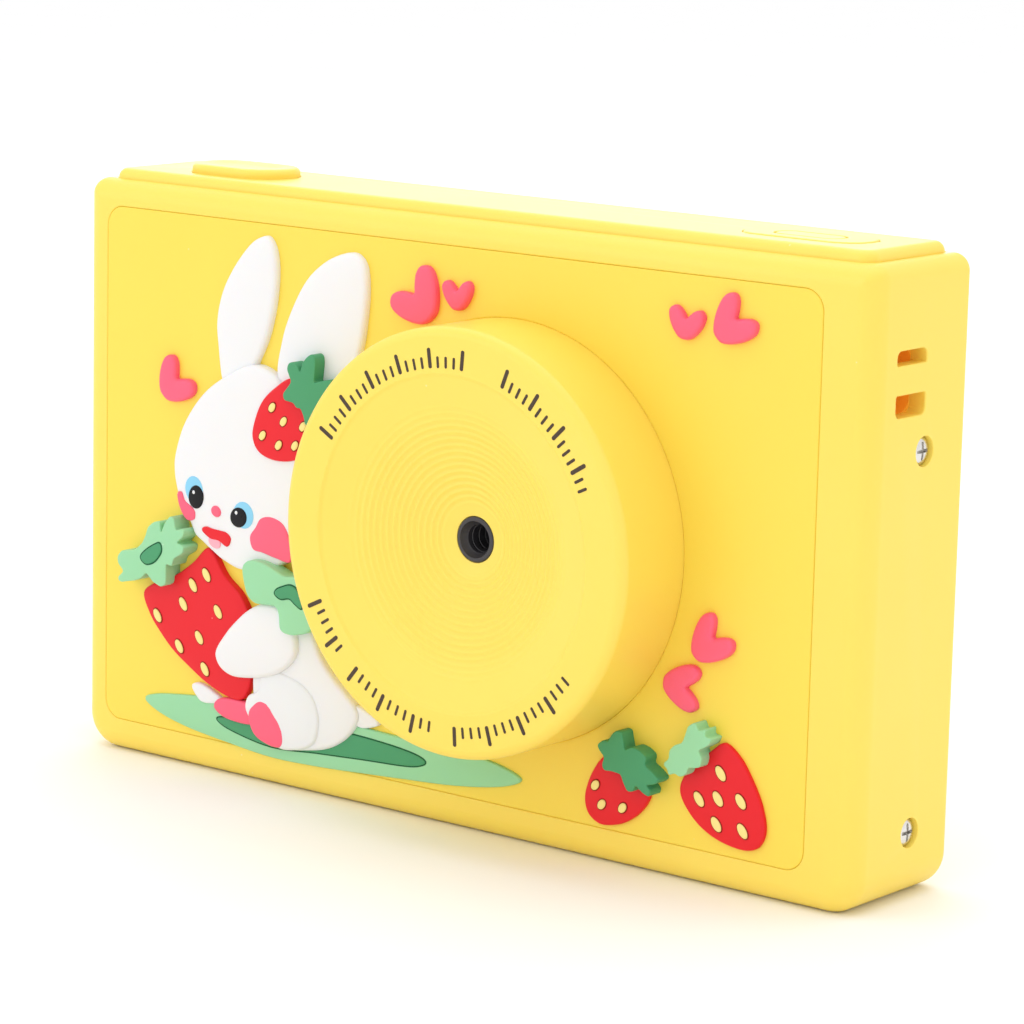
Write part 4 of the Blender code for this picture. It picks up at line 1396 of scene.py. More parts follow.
@dataclass
class LensRing:
    """Ring that stands proud of the panel, with a ridged dish and a printed scale.

    Attributes:
        centre: Middle of the ring on the lens axis.
        front: Level of its flat front.
        radius: Outer radius.
        foot: Level of its foot, below the panel's surface.
        rounding: Rounding of its front edge.
        dish_depth: Depth of the dish.
        bore: Radius of the hole in the middle.
        ridge_start: Radius of the innermost ridge.
        ridge_end: Radius where the ridges have faded out.
        ridge_pitch: Distance from ridge to ridge.
        ridge_height: Height of the ridges.
        ARCS: First angle, last angle and inner radius of each arc of marks.
    """

    centre: Vector
    front: float
    radius: float
    foot: float
    rounding: float = 1.0 * MM
    dish_depth: float = 4.0 * MM
    bore: float = 2.2 * MM
    ridge_start: float = 3.1 * MM
    ridge_end: float = 13.2 * MM
    ridge_pitch: float = 0.62 * MM
    ridge_height: float = 0.07 * MM

    ARCS = (
        (150.0, 86.0, 16.3), (69.0, 25.0, 16.3),
        (-154.0, -138.0, 16.9), (-129.0, -96.0, 16.9), (-86.0, -37.0, 16.9),
    )

    def build(self, workshop: Workshop) -> None:
        """Build the ring and its scale.

        Args:
            workshop: Maker of the pieces.
        """
        ring = turned(self._profile(), Axis.Y, self.centre, 192)
        workshop.piece("ring", ring, "yellow_shell", replaces=["lens_ring"])
        workshop.piece("ring_scale", merged(self._scale()), "brown_ink", even=False)

    def _profile(self) -> list[Point]:
        """Radius and level from the foot, over the rim and down the dish.

        Returns:
            Closed profile of the ring.
        """
        profile = [(self.radius, self.foot)]
        for step in range(11):
            turn = step * math.pi / 20
            inset, drop = self.rounding * (1 - math.cos(turn)), self.rounding * (1 - math.sin(turn))
            profile.append((self.radius - inset, self.front + drop))
        for radius, drop in ((15.95, 0.0), (15.8, 0.03), (15.7, 0.12), (15.55, 0.22), (15.3, 0.28)):
            profile.append((radius * MM, self.front + drop * MM))
        start, radius = profile[-1], profile[-1][0]
        while radius > self.bore + 0.3 * MM:
            radius -= self.ridge_pitch / 8
            profile.append((radius, self._dish_level(radius, start)))
        bottom, inner = self.front + self.dish_depth, self.radius - 2 * MM
        back = bottom + 1.5 * MM
        profile += [(self.bore, bottom), (self.bore, back), (inner, back), (inner, self.foot)]
        return profile

    def _dish_level(self, radius: float, start: Point) -> float:
        """Level of the dish at a radius, with its circular ridges.

        Args:
            radius: Radius on the dish.
            start: Radius and level of the dish's edge.

        Returns:
            The level.
        """
        share = (start[0] - radius) / (start[0] - self.bore)
        level = start[1] + (self.front + self.dish_depth - start[1]) * share
        inside, outside = (radius - self.ridge_start) / MM, (self.ridge_end - radius) / (2.5 * MM)
        fade = min(1.0, max(0.0, inside), max(0.0, outside))
        wave = math.cos(2 * math.pi * (radius - self.ridge_start) / self.ridge_pitch)
        return level + self.ridge_height * wave * fade

    def _scale(self) -> list[Solid]:
        """Graduation marks in arcs on the flat front.

        Returns:
            The marks.
        """
        marks = []
        for start, end, inner in self.ARCS:
            count = round(abs(end - start) / 3.2)
            for number in range(count + 1):
                angle = start + (end - start) * number / count
                tall = number % 4 == 0
                marks.append(self._mark(angle, inner, 1.9 if tall else 1.1, 0.4 if tall else 0.28))
        return marks

    def _mark(self, angle: float, inner: float, length: float, width: float) -> Solid:
        """One printed mark along a radius.

        Args:
            angle: Angle of the mark, in degrees.
            inner: Radius at its inner end, in millimetres.
            length: Its length, in millimetres.
            width: Its width, in millimetres.

        Returns:
            The mark.
        """
        turn, middle = math.radians(angle), inner + length / 2
        place = (
            self.centre.x / MM + middle * math.cos(turn),
            self.centre.z / MM + middle * math.sin(turn),
        )
        shape = [(p.x / MM, p.y / MM) for p in pill((0.0, 0.0), length * MM, width * MM, 4)]
        outline = placed(shape, place, angle)
        return loft([(outline, self.front + 0.1 * MM), (outline, self.front - 0.02 * MM)], Axis.Y)


@dataclass
class LensHood:
    """Black hood in the middle of the dish with stepped rings inside.

    Attributes:
        centre: Middle of the hood on the lens axis.
        front: Level of its front face.
        back: Level of its back end.
        radius: Outer radius.
        aperture: Radius of the hole behind the funnel.
        funnel: Depth of the funnel at the front.
        step: Depth of each step inside.
        narrowing: How much each step narrows the hole.
    """

    centre: Vector
    front: float
    back: float
    radius: float = 2.15 * MM
    aperture: float = 1.35 * MM
    funnel: float = 0.6 * MM
    step: float = 0.9 * MM
    narrowing: float = 0.05 * MM

    def build(self, workshop: Workshop) -> None:
        """Build the hood.

        Args:
            workshop: Maker of the pieces.
        """
        edge = 0.18 * MM
        profile = [(self.radius, self.back), (self.radius, self.front + edge)]
        for step in range(1, 5):
            turn = step * math.pi / 8
            inset, drop = edge * (1 - math.cos(turn)), edge * (1 - math.sin(turn))
            profile.append((self.radius - inset, self.front + drop))
        profile.append((self.radius - 0.4 * MM, self.front))
        profile.append((self.aperture + 0.1 * MM, self.front + self.funnel))
        profile.append((self.aperture, self.front + self.funnel + 0.12 * MM))
        level, radius = self.front + self.funnel + 0.7 * MM, self.aperture
        for _ in range(3):
            profile += [(radius, level), (radius - self.narrowing, level + 0.04 * MM)]
            level, radius = level + self.step, radius - self.narrowing
        profile.append((radius, self.back))
        hood = turned(profile, Axis.Y, self.centre, 96)
        workshop.piece("hood", hood, "black_plastic", replaces=["lens_hood"])


# ------------------------------------------------------------------ relief


@dataclass
class Relief:
    """Soft motifs on the front panel.

    Attributes:
        panel_y: Level of the panel's surface.
    """

    panel_y: float

    def pad(
        self, workshop: Workshop, name: str, finish: str, pads: Sequence[Pad], replaces: Sequence[str] = ()
    ) -> None:
        """Make one piece from one or more pads."""
        shape = merged([pad.shape(self.panel_y) for pad in pads])
        workshop.piece(name, shape, finish, replaces=replaces, crease=50.0, even=False)


HEAD = (
    (-24.2, 42.1), (-27.8, 40.4), (-30.5, 38.4), (-32.8, 35.4), (-34.0, 32.2), (-34.1, 30.2),
    (-33.6, 28.2), (-32.9, 26.6), (-31.9, 25.5), (-31.2, 24.3), (-30.2, 23.7), (-29.0, 23.0),
    (-27.4, 22.2), (-25.0, 21.6), (-21.6, 22.0), (-18.6, 23.8), (-16.4, 27.0), (-15.6, 31.4),
    (-16.3, 35.4), (-18.4, 38.9), (-21.2, 41.5),
)
LEFT_EAR = (
    (-28.2, 40.0), (-28.8, 43.4), (-29.0, 46.0), (-28.3, 48.9), (-26.8, 51.5), (-24.8, 53.8),
    (-23.3, 54.7), (-22.3, 54.7), (-21.5, 53.5), (-21.2, 51.2), (-21.5, 48.1), (-22.4, 44.8),
    (-23.8, 42.0), (-25.0, 39.6), (-26.9, 38.9),
)
RIGHT_EAR = (
    (-20.9, 41.0), (-20.5, 44.8), (-19.3, 48.0), (-17.4, 51.1), (-15.0, 53.1), (-12.6, 54.1),
    (-11.0, 54.1), (-10.0, 53.0), (-9.7, 50.7), (-9.9, 47.9), (-10.4, 45.0), (-11.6, 42.0),
    (-13.6, 39.4), (-18.0, 38.5),
)
ARM = (
    (-28.0, 13.0), (-26.7, 15.0), (-25.3, 16.5), (-23.6, 17.9), (-21.6, 18.8), (-19.6, 18.7),
    (-17.9, 17.2), (-17.3, 15.1), (-17.8, 13.6), (-19.3, 12.3), (-21.0, 11.5), (-23.2, 11.0),
    (-25.7, 10.8), (-27.4, 11.5),
)
RUMP = (
    (-21.5, 19.6), (-22.8, 15.8), (-23.6, 11.0), (-23.2, 8.0), (-22.0, 5.6), (-19.6, 4.4), (-16.4, 4.7),
    (-13.6, 5.4), (-11.3, 6.8), (-9.9, 8.7), (-10.1, 10.0), (-11.7, 11.4), (-13.2, 12.6), (-14.8, 14.4),
    (-16.3, 17.4), (-17.8, 19.6),
)
HAUNCH = (
    (-21.8, 12.2), (-18.2, 11.9), (-15.8, 10.8), (-14.6, 8.9), (-14.6, 7.0), (-15.5, 5.4), (-18.0, 4.5),
    (-20.2, 4.5), (-22.6, 5.9), (-24.2, 7.5), (-24.0, 9.0), (-22.6, 9.9),
)
SOLE = (
    (-23.3, 8.1), (-22.2, 8.9), (-20.8, 8.7), (-19.5, 7.5), (-19.0, 6.0), (-19.3, 4.7), (-20.7, 4.5),
    (-22.6, 5.1), (-23.5, 6.2), (-23.7, 7.3),
)
FAR_SOLE = (
    (-28.8, 7.1), (-28.2, 8.0), (-26.2, 8.3), (-24.0, 8.1), (-23.5, 7.1), (-23.8, 6.1), (-25.8, 6.0),
    (-27.7, 6.3),
)
FAR_FOOT = (
    (-32.0, 8.6), (-31.4, 9.1), (-30.2, 9.0), (-28.3, 8.2), (-28.0, 7.7), (-29.2, 7.3), (-30.8, 7.3),
)
TAIL = ((-10.6, 10.2), (-8.6, 9.7), (-7.5, 9.1), (-7.7, 8.6), (-9.6, 8.1), (-11.0, 8.7))
BOW = (
    (-23.8, 21.7), (-23.6, 22.6), (-22.6, 23.1), (-21.0, 23.0), (-19.4, 22.5), (-18.2, 22.1),
    (-16.6, 22.2), (-14.8, 21.2), (-13.8, 19.3), (-14.9, 17.2), (-16.6, 16.5), (-18.0, 16.4),
    (-18.8, 16.8), (-19.0, 18.2), (-19.5, 18.9), (-20.9, 18.9), (-22.2, 18.9), (-23.2, 19.7),
)
BOW_FOLD = (
    (-19.4, 20.2), (-19.2, 20.7), (-18.4, 21.1), (-17.4, 21.4), (-16.5, 21.1), (-15.8, 20.0),
    (-15.9, 19.2), (-16.8, 19.6), (-17.5, 20.0), (-18.6, 19.8),
)
SMILE = (
    (-30.0, 25.0), (-29.5, 25.4), (-28.6, 25.3), (-27.6, 25.25), (-26.7, 25.15), (-26.1, 24.6),
    (-26.6, 23.75), (-27.7, 24.2), (-28.9, 24.3),
)
LEFT_CHEEK = (
    (-33.4, 28.3), (-32.8, 28.4), (-32.4, 27.6), (-31.6, 27.2), (-31.0, 26.7), (-31.1, 25.9),
    (-32.0, 25.7), (-32.7, 26.3), (-33.2, 27.2),
)
RIGHT_CHEEK = (
    (-23.6, 25.2), (-22.9, 26.2), (-22.2, 27.2), (-20.8, 27.5), (-19.3, 27.0), (-18.5, 25.6),
    (-18.3, 23.4), (-20.2, 23.5), (-21.9, 23.8), (-23.2, 24.0),
)
GRASS = (
    (-38.6, 6.4), (-37.4, 6.9), (-35.0, 7.3), (-30.0, 7.8), (-22.0, 8.2), (-12.0, 8.2), (-5.0, 8.0),
    (2.0, 7.9), (7.2, 7.4), (10.0, 6.4), (7.6, 5.3), (2.0, 4.4), (-4.6, 3.9), (-10.4, 3.5),
    (-15.6, 3.2), (-21.4, 3.1), (-27.3, 3.6), (-32.4, 4.2), (-35.8, 4.9), (-37.9, 5.7),
)
DARK_GRASS = (
    (-28.6, 5.8), (-27.6, 6.2), (-24.4, 6.3), (-18.0, 6.9), (-12.0, 7.3), (-6.6, 7.1), (-2.9, 6.7),
    (-1.5, 6.2), (-2.0, 5.7), (-4.0, 5.3), (-9.3, 5.0), (-15.4, 4.6), (-21.3, 4.2), (-26.7, 5.0),
)


@dataclass
class Rabbit(Relief):
    """Plain rabbit that sits on the grass with a bow at its neck."""

    head_top: float = 1.3

    def build(self, workshop: Workshop) -> None:
        """Build the rabbit, its face and the grass.

        Args:
            workshop: Maker of the pieces.
        """
        self.pad(workshop, "rabbit_head", "soft_white", self._head(), ["bunny_head"])
        self.pad(workshop, "rabbit_body", "soft_white", self._body(), ["bunny_body"])
        arm = Pad(flowing(ARM), 0.5, 1.75, 0.5, 0.15)
        self.pad(workshop, "rabbit_arm", "soft_white", [arm], ["bunny_arm"])
        soles = [Pad(flowing(SOLE), 0.7, 1.4, 0.3), Pad(flowing(FAR_SOLE), -0.1, 0.9, 0.3)]
        self.pad(workshop, "rabbit_soles", "soft_pink", soles)
        self._bow(workshop)
        self._face(workshop)
        self._meadow(workshop)

    def _head(self) -> list[Pad]:
        """Head and both ears.

        Returns:
            The pads.
        """
        return [
            Pad(flowing(HEAD), -0.1, self.head_top, 0.45, 0.15, 1.1),
            Pad(flowing(LEFT_EAR), -0.1, 0.85, 0.5, 0.12),
            Pad(flowing(RIGHT_EAR), -0.1, 0.85, 0.5, 0.12),
        ]

    def _body(self) -> list[Pad]:
        """Rump, haunch, far foot and tail.

        Returns:
            The pads.
        """
        return [
            Pad(flowing(RUMP), -0.1, 1.0, 0.45, 0.15),
            Pad(flowing(HAUNCH), 0.2, 1.3, 0.4, 0.15),
            Pad(flowing(FAR_FOOT), -0.1, 0.6, 0.25, 0.05),
            Pad(flowing(TAIL), -0.1, 0.6, 0.25, 0.05),
        ]

    def _bow(self, workshop: Workshop) -> None:
        """Bow with a darker fold in its middle.

        Args:
            workshop: Maker of the pieces.
        """
        bow = Pad(flowing(BOW), 0.5, 2.3, 0.22, 0.06)
        self.pad(workshop, "rabbit_bow", "mint_green", [bow], ["neck_bow"])
        fold = anticlockwise(flowing(BOW_FOLD))
        line = Pad(grown(fold, 0.08 * MM), 2.0, 2.32, 0.04, 0.0)
        self.pad(workshop, "bow_fold_line", "dark_line", [line])
        self.pad(workshop, "bow_fold", "leaf_green", [Pad(grown(fold, -0.06 * MM), 2.0, 2.38, 0.08, 0.0)])

    def _face(self, workshop: Workshop) -> None:
        """Oval eyes under pale lids, a nose, a small smile and round cheeks.

        Args:
            workshop: Maker of the pieces.
        """
        top, foot = self.head_top, self.head_top - 0.5
        eyes = (((-30.8, 28.2), 1.0, 1.2, -12.0), ((-25.1, 26.9), 1.12, 1.0, 20.0))
        lids = (((-31.1, 28.9), 1.2, 1.35, 10.0), ((-24.5, 27.2), 1.35, 1.35, -25.0))
        pale = [Pad(ellipse(*lid), foot, top + 0.04, 0.08, 0.0) for lid in lids]
        self.pad(workshop, "eye_lids", "eye_blue", pale)
        dark = [Pad(ellipse(*eye), foot, top + 0.14, 0.14, 0.02) for eye in eyes]
        self.pad(workshop, "eyes", "eye_black", dark)
        glints = [
            Pad(ellipse((across - 0.25, up + 0.45), 0.17, 0.2), foot, top + 0.16, 0.04, 0.0)
            for (across, up), *_ in eyes
        ]
        self.pad(workshop, "eye_glints", "soft_white", glints)
        cheeks = [
            Pad(flowing(RIGHT_CHEEK), foot, top + 0.1, 0.14, 0.02),
            Pad(flowing(LEFT_CHEEK), -0.1, top + 0.05, 0.12, 0.02),
            Pad(ellipse((-28.1, 27.1), 0.66, 0.56, -20.0), foot, top + 0.2, 0.2, 0.02),
        ]
        self.pad(workshop, "cheeks_and_nose", "soft_pink", cheeks)
        self.pad(workshop, "smile", "soft_red", [Pad(flowing(SMILE), foot, top + 0.12, 0.1, 0.0)])
        tongue = Pad(ellipse((-28.3, 24.0), 0.85, 0.6, -20.0), foot, top + 0.06, 0.1, 0.0)
        self.pad(workshop, "tongue", "tongue_pink", [tongue])

    def _meadow(self, workshop: Workshop) -> None:
        """Light grass with a darker patch on it.

        Args:
            workshop: Maker of the pieces.
        """
        grass = Pad(flowing(GRASS), -0.1, 0.4, 0.2, 0.05, 1.6)
        self.pad(workshop, "meadow", "mint_green", [grass], ["grass"])
        patch = anticlockwise(flowing(DARK_GRASS))
        line = Pad(grown(patch, 0.08 * MM), 0.1, 0.41, 0.04, 0.0)
        self.pad(workshop, "meadow_line", "dark_line", [line])
        dark = Pad(grown(patch, -0.05 * MM), 0.1, 0.5, 0.1, 0.03, 1.6)
        self.pad(workshop, "meadow_patch", "leaf_green", [dark])


@dataclass(frozen=True)
class Strawberry:
    """Strawberry with seeds and a leafy crown.

    Attributes:
        name: Name of its CAD nodes.
        fruit: Knots of its outline, in millimetres.
        leaf: Corners of its crown, in millimetres.
        leaf_finish: Finish of the crown.
        seeds: Places of the seeds, in millimetres.
        seed_size: Half width and half length of a seed, in millimetres.
        seed_tilt: Turn of the seeds, in degrees.
        base: Height of the foot, in millimetres.
        top: Height of the fruit, in millimetres.
        leaf_top: Height of the crown, in millimetres.
    """

    name: str
    fruit: tuple[Point, ...]
    leaf: tuple[Point, ...]
    leaf_finish: str
    seeds: tuple[Point, ...]
    seed_size: Point
    seed_tilt: float
    base: float
    top: float
    leaf_top: float

    def build(self, workshop: Workshop, relief: Relief) -> None:
        """Build the fruit, its seeds and its crown.

        Args:
            workshop: Maker of the pieces.
            relief: Relief that the pads stand on.
        """
        fruit = Pad(flowing(self.fruit), self.base, self.top, 0.22, 0.08)
        relief.pad(workshop, f"{self.name}_fruit", "soft_red", [fruit], [self.name])
        crown = Pad(softened(self.leaf, 0.28), self.base, self.leaf_top, 0.12, 0.05, 0.7)
        relief.pad(workshop, f"{self.name}_crown", self.leaf_finish, [crown], [f"{self.name}_leaf"])
        # Each seed sits on a dark red rim that paints in the shadow of the gap round it.
        for suffix, finish, margin, rise, rim in (
            ("seed_painted_shadow_rims", "seed_painted_shadow_rim", 0.09, 0.02, 0.04), ("seeds", "seed_cream", 0.0, 0.12, 0.12)
        ):
            half_width, half_length = (half + margin for half in self.seed_size)
            ovals = [ellipse(seed, half_width, half_length, self.seed_tilt) for seed in self.seeds]
            pads = [Pad(oval, self.top - 0.4, self.top + rise, rim, 0.0) for oval in ovals]
            relief.pad(workshop, f"{self.name}_{suffix}", finish, pads)


STRAWBERRIES = (
    Strawberry(
        "hugged_strawberry",
        (
            (-29.9, 23.1), (-28.9, 22.6), (-27.4, 20.6), (-25.2, 18.9), (-23.9, 16.6), (-23.5, 13.6),
            (-23.8, 10.8), (-24.4, 9.0), (-25.5, 8.3), (-27.6, 8.6), (-30.0, 9.5), (-32.2, 10.7),
            (-34.3, 12.0), (-36.1, 13.6), (-37.5, 15.2), (-38.4, 17.4), (-36.4, 18.8), (-34.0, 19.8),
            (-31.7, 21.4),
        ),
        (
            (-40.8, 20.9), (-40.2, 21.6), (-38.4, 21.9), (-37.4, 22.7), (-36.9, 23.6), (-36.6, 24.5),
            (-35.8, 25.1), (-35.0, 25.3), (-34.8, 24.1), (-34.3, 25.2), (-33.6, 26.0), (-33.1, 25.9),
            (-32.8, 24.6), (-31.7, 25.0), (-31.7, 24.2), (-32.7, 23.4), (-31.7, 23.2), (-31.8, 22.5),
            (-33.1, 21.7), (-33.3, 20.9), (-34.1, 21.1), (-34.1, 19.0), (-34.8, 18.6), (-35.9, 19.0),
            (-36.8, 19.8), (-37.4, 19.2), (-38.2, 18.8), (-40.4, 18.3), (-40.8, 18.7), (-39.9, 19.5),
            (-40.7, 20.2),
        ),
        "mint_green",
        (
            (-29.7, 20.4), (-31.5, 19.1), (-32.8, 17.0), (-36.3, 15.3), (-28.1, 16.9), (-30.6, 13.9),
            (-33.3, 12.6), (-29.8, 10.8),
        ),
        (0.42, 0.76), 35.0, -0.1, 0.9, 2.2,
    ),
    Strawberry(
        "hair_strawberry",
        (
            (-18.4, 41.5), (-20.5, 40.3), (-22.1, 38.8), (-23.0, 36.9), (-23.3, 35.2), (-22.5, 33.8),
            (-20.6, 33.2), (-18.2, 33.4), (-16.0, 34.4), (-14.8, 36.4), (-14.9, 38.8), (-16.0, 41.0),
        ),
        (
            (-18.3, 42.5), (-18.1, 43.1), (-17.5, 43.3), (-16.9, 43.0), (-16.6, 42.3), (-16.3, 43.3),
            (-15.8, 43.9), (-15.2, 44.3), (-14.7, 44.1), (-14.6, 43.4), (-14.8, 41.5), (-13.9, 41.8),
            (-12.8, 42.1), (-12.3, 41.4), (-13.2, 39.8), (-14.4, 37.6), (-15.8, 37.2), (-16.1, 38.2),
            (-16.5, 38.9), (-17.0, 38.8), (-17.4, 39.3), (-18.6, 39.4), (-18.8, 40.0), (-18.2, 40.7),
            (-17.7, 41.3),
        ),
        "leaf_green",
        ((-20.6, 38.4), (-19.1, 37.2), (-21.8, 35.5), (-19.7, 34.8), (-17.6, 35.0), (-16.6, 37.0)),
        (0.36, 0.56), -38.0, 0.8, 1.65, 2.3,
    ),
    Strawberry(
        "left_strawberry",
        (
            (23.0, 11.6), (20.2, 10.8), (18.6, 9.0), (17.7, 6.6), (18.0, 4.9), (19.2, 4.0), (20.6, 4.0),
            (22.4, 4.6), (24.1, 5.9), (25.1, 7.5), (25.2, 9.6),
        ),
        (
            (19.9, 11.8), (20.6, 12.4), (21.2, 12.3), (21.5, 13.0), (22.0, 13.5), (22.7, 13.5),
            (22.9, 12.6), (23.1, 11.8), (23.9, 12.3), (24.8, 12.1), (25.6, 11.6), (25.4, 10.8),
            (26.2, 10.4), (27.1, 9.7), (26.6, 9.2), (25.6, 9.0), (26.2, 8.5), (26.0, 7.9), (25.2, 8.2),
            (24.4, 8.8), (24.2, 8.1), (23.5, 8.0), (23.0, 8.8), (22.7, 9.5), (21.6, 9.6), (20.8, 9.5),
            (20.5, 10.0), (20.8, 10.8), (20.3, 11.2),
        ),
        "leaf_green",
        ((19.0, 7.6), (19.8, 5.9), (22.2, 6.0)),
        (0.4, 0.56), -40.0, -0.1, 0.55, 1.8,
    ),
    Strawberry(
        "right_strawberry",
        (
            (33.3, 14.0), (32.0, 13.2), (30.7, 12.0), (29.2, 10.6), (28.5, 9.2), (28.8, 7.9),
            (30.2, 6.3), (32.0, 5.2), (34.1, 4.6), (36.1, 4.5), (37.4, 5.1), (38.0, 6.7), (37.5, 8.9),
            (36.4, 11.0), (35.0, 12.9),
        ),
        (
            (27.4, 11.3), (28.1, 11.9), (28.1, 12.7), (28.7, 13.3), (29.5, 13.6), (29.8, 14.3),
            (30.1, 15.3), (30.9, 15.8), (31.3, 15.0), (32.1, 15.4), (32.0, 14.6), (32.8, 14.6),
            (32.5, 13.9), (31.3, 13.2), (31.8, 12.6), (31.6, 11.7), (30.9, 11.5), (30.3, 11.5),
            (30.1, 10.8), (29.4, 10.4), (28.7, 10.7), (28.1, 10.3), (28.0, 10.9),
        ),
        "mint_green",
        ((33.1, 11.2), (30.8, 8.4), (32.9, 8.8), (35.4, 9.0), (32.8, 6.4), (35.7, 6.3)),
        (0.44, 0.78), 38.0, -0.1, 0.55, 1.8,
    ),
)
LEAF_SPOT = (
    (-37.5, 21.3), (-36.8, 22.1), (-35.7, 22.8), (-34.9, 23.1), (-34.6, 22.5), (-34.9, 21.8),
    (-35.7, 21.0), (-36.8, 20.7),
)


@dataclass
class Fruit(Relief):
    """The four strawberries."""

    def build(self, workshop: Workshop) -> None:
        """Build the strawberries and the spot on the largest crown.

        Args:
            workshop: Maker of the pieces.
        """
        for strawberry in STRAWBERRIES:
            strawberry.build(workshop, self)
        spot = anticlockwise(flowing(LEAF_SPOT))
        line = Pad(grown(spot, 0.1 * MM), 1.9, 2.21, 0.04, 0.0)
        self.pad(workshop, "crown_spot_line", "dark_line", [line])
        self.pad(workshop, "crown_spot", "leaf_green", [Pad(grown(spot, -0.04 * MM), 1.9, 2.28, 0.08, 0.0)])


HALF_HEART = (
    (0.0, 0.0), (0.26, 0.05), (0.54, 0.28), (0.74, 0.58), (0.78, 0.84), (0.6, 1.0), (0.36, 0.96),
    (0.15, 0.8),
)
NOTCH = (0.0, 0.67)
# Each heart: place of its tip across and up, height, spread and tilt in degrees.
HEARTS: tuple[tuple[float, float, float, float, float], ...] = (
    (-36.1, 37.6, 3.9, 0.82, -42.0), (-1.9, 48.8, 4.6, 0.86, 42.0), (1.3, 50.0, 2.8, 0.8, 3.0),
    (27.4, 50.1, 2.9, 0.85, -6.0), (31.0, 50.6, 4.2, 0.7, -46.0), (29.7, 21.4, 4.3, 0.66, -44.0),
    (26.3, 18.6, 3.9, 0.72, -94.0),
)


@dataclass
class Hearts(Relief):
    """Seven small hearts."""

    def build(self, workshop: Workshop) -> None:
        """Build each heart as its own piece.

        Args:
            workshop: Maker of the pieces.
        """
        mirrored = [(-u, v) for u, v in reversed(HALF_HEART[1:])]
        for number, (across, up, height, spread, tilt) in enumerate(HEARTS, 1):
            knots = [(u * spread, v) for u, v in (*HALF_HEART, NOTCH, *mirrored)]
            turned_knots = [(p.x / MM, p.y / MM) for p in placed(knots, (across, up), tilt, height)]
            heart = Pad(flowing(turned_knots), -0.1, 0.85, 0.4, 0.1, 0.7)
            self.pad(workshop, f"small_heart_{number}", "soft_pink", [heart], [f"heart_{number}"])


# ------------------------------------------------------------------ back and sides


@dataclass
class SideScrew:
    """Pan-head screw with a cross recess in the side of the housing.

    Attributes:
        node: Name of its CAD node.
        radius: Radius of the head.
        sunk: How far the looks set the head below the CAD's.
    """

    node: str
    radius: float = 1.35 * MM
    sunk: float = 0.6 * MM

    NODES = (
        "side_screw_right_upper", "side_screw_right_lower", "side_screw_left_upper", "side_screw_left_lower"
    )

    def build(self, workshop: Workshop) -> None:
        """Build the screw.

        Args:
            workshop: Maker of the pieces.
        """
        low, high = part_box(self.node)
        side = 1.0 if low.x > 0 else -1.0
        outer = (high.x if side > 0 else low.x) - side * self.sunk
        inner = low.x if side > 0 else high.x
        centre = (low + high) / 2
        profile = [(0.0, outer)]
        for share, drop in ((0.35, 0.02), (0.6, 0.07), (0.8, 0.16), (0.93, 0.28), (1.0, 0.45), (1.0, 0.8)):
            profile.append((self.radius * share, outer - side * drop * MM))
        profile += [(0.8 * MM, outer - side * 0.8 * MM), (0.8 * MM, inner), (0.0, inner)]
        head = turned(profile, Axis.X, centre, 48)
        arms = []
        for width, height in ((0.34, 1.7), (1.7, 0.34)):
            wide = rounded_rectangle((centre.y, centre.z), width * MM, height * MM, 0.12 * MM, steps=3)
            deep, above = outer - side * 0.5 * MM, outer + side * 0.3 * MM
            arms.append(loft([(grown(wide, -0.08 * MM), deep), (wide, outer), (wide, above)], Axis.X))
        workshop.piece(f"{self.node}_head", carved(head, arms), "screw_steel", replaces=[self.node])


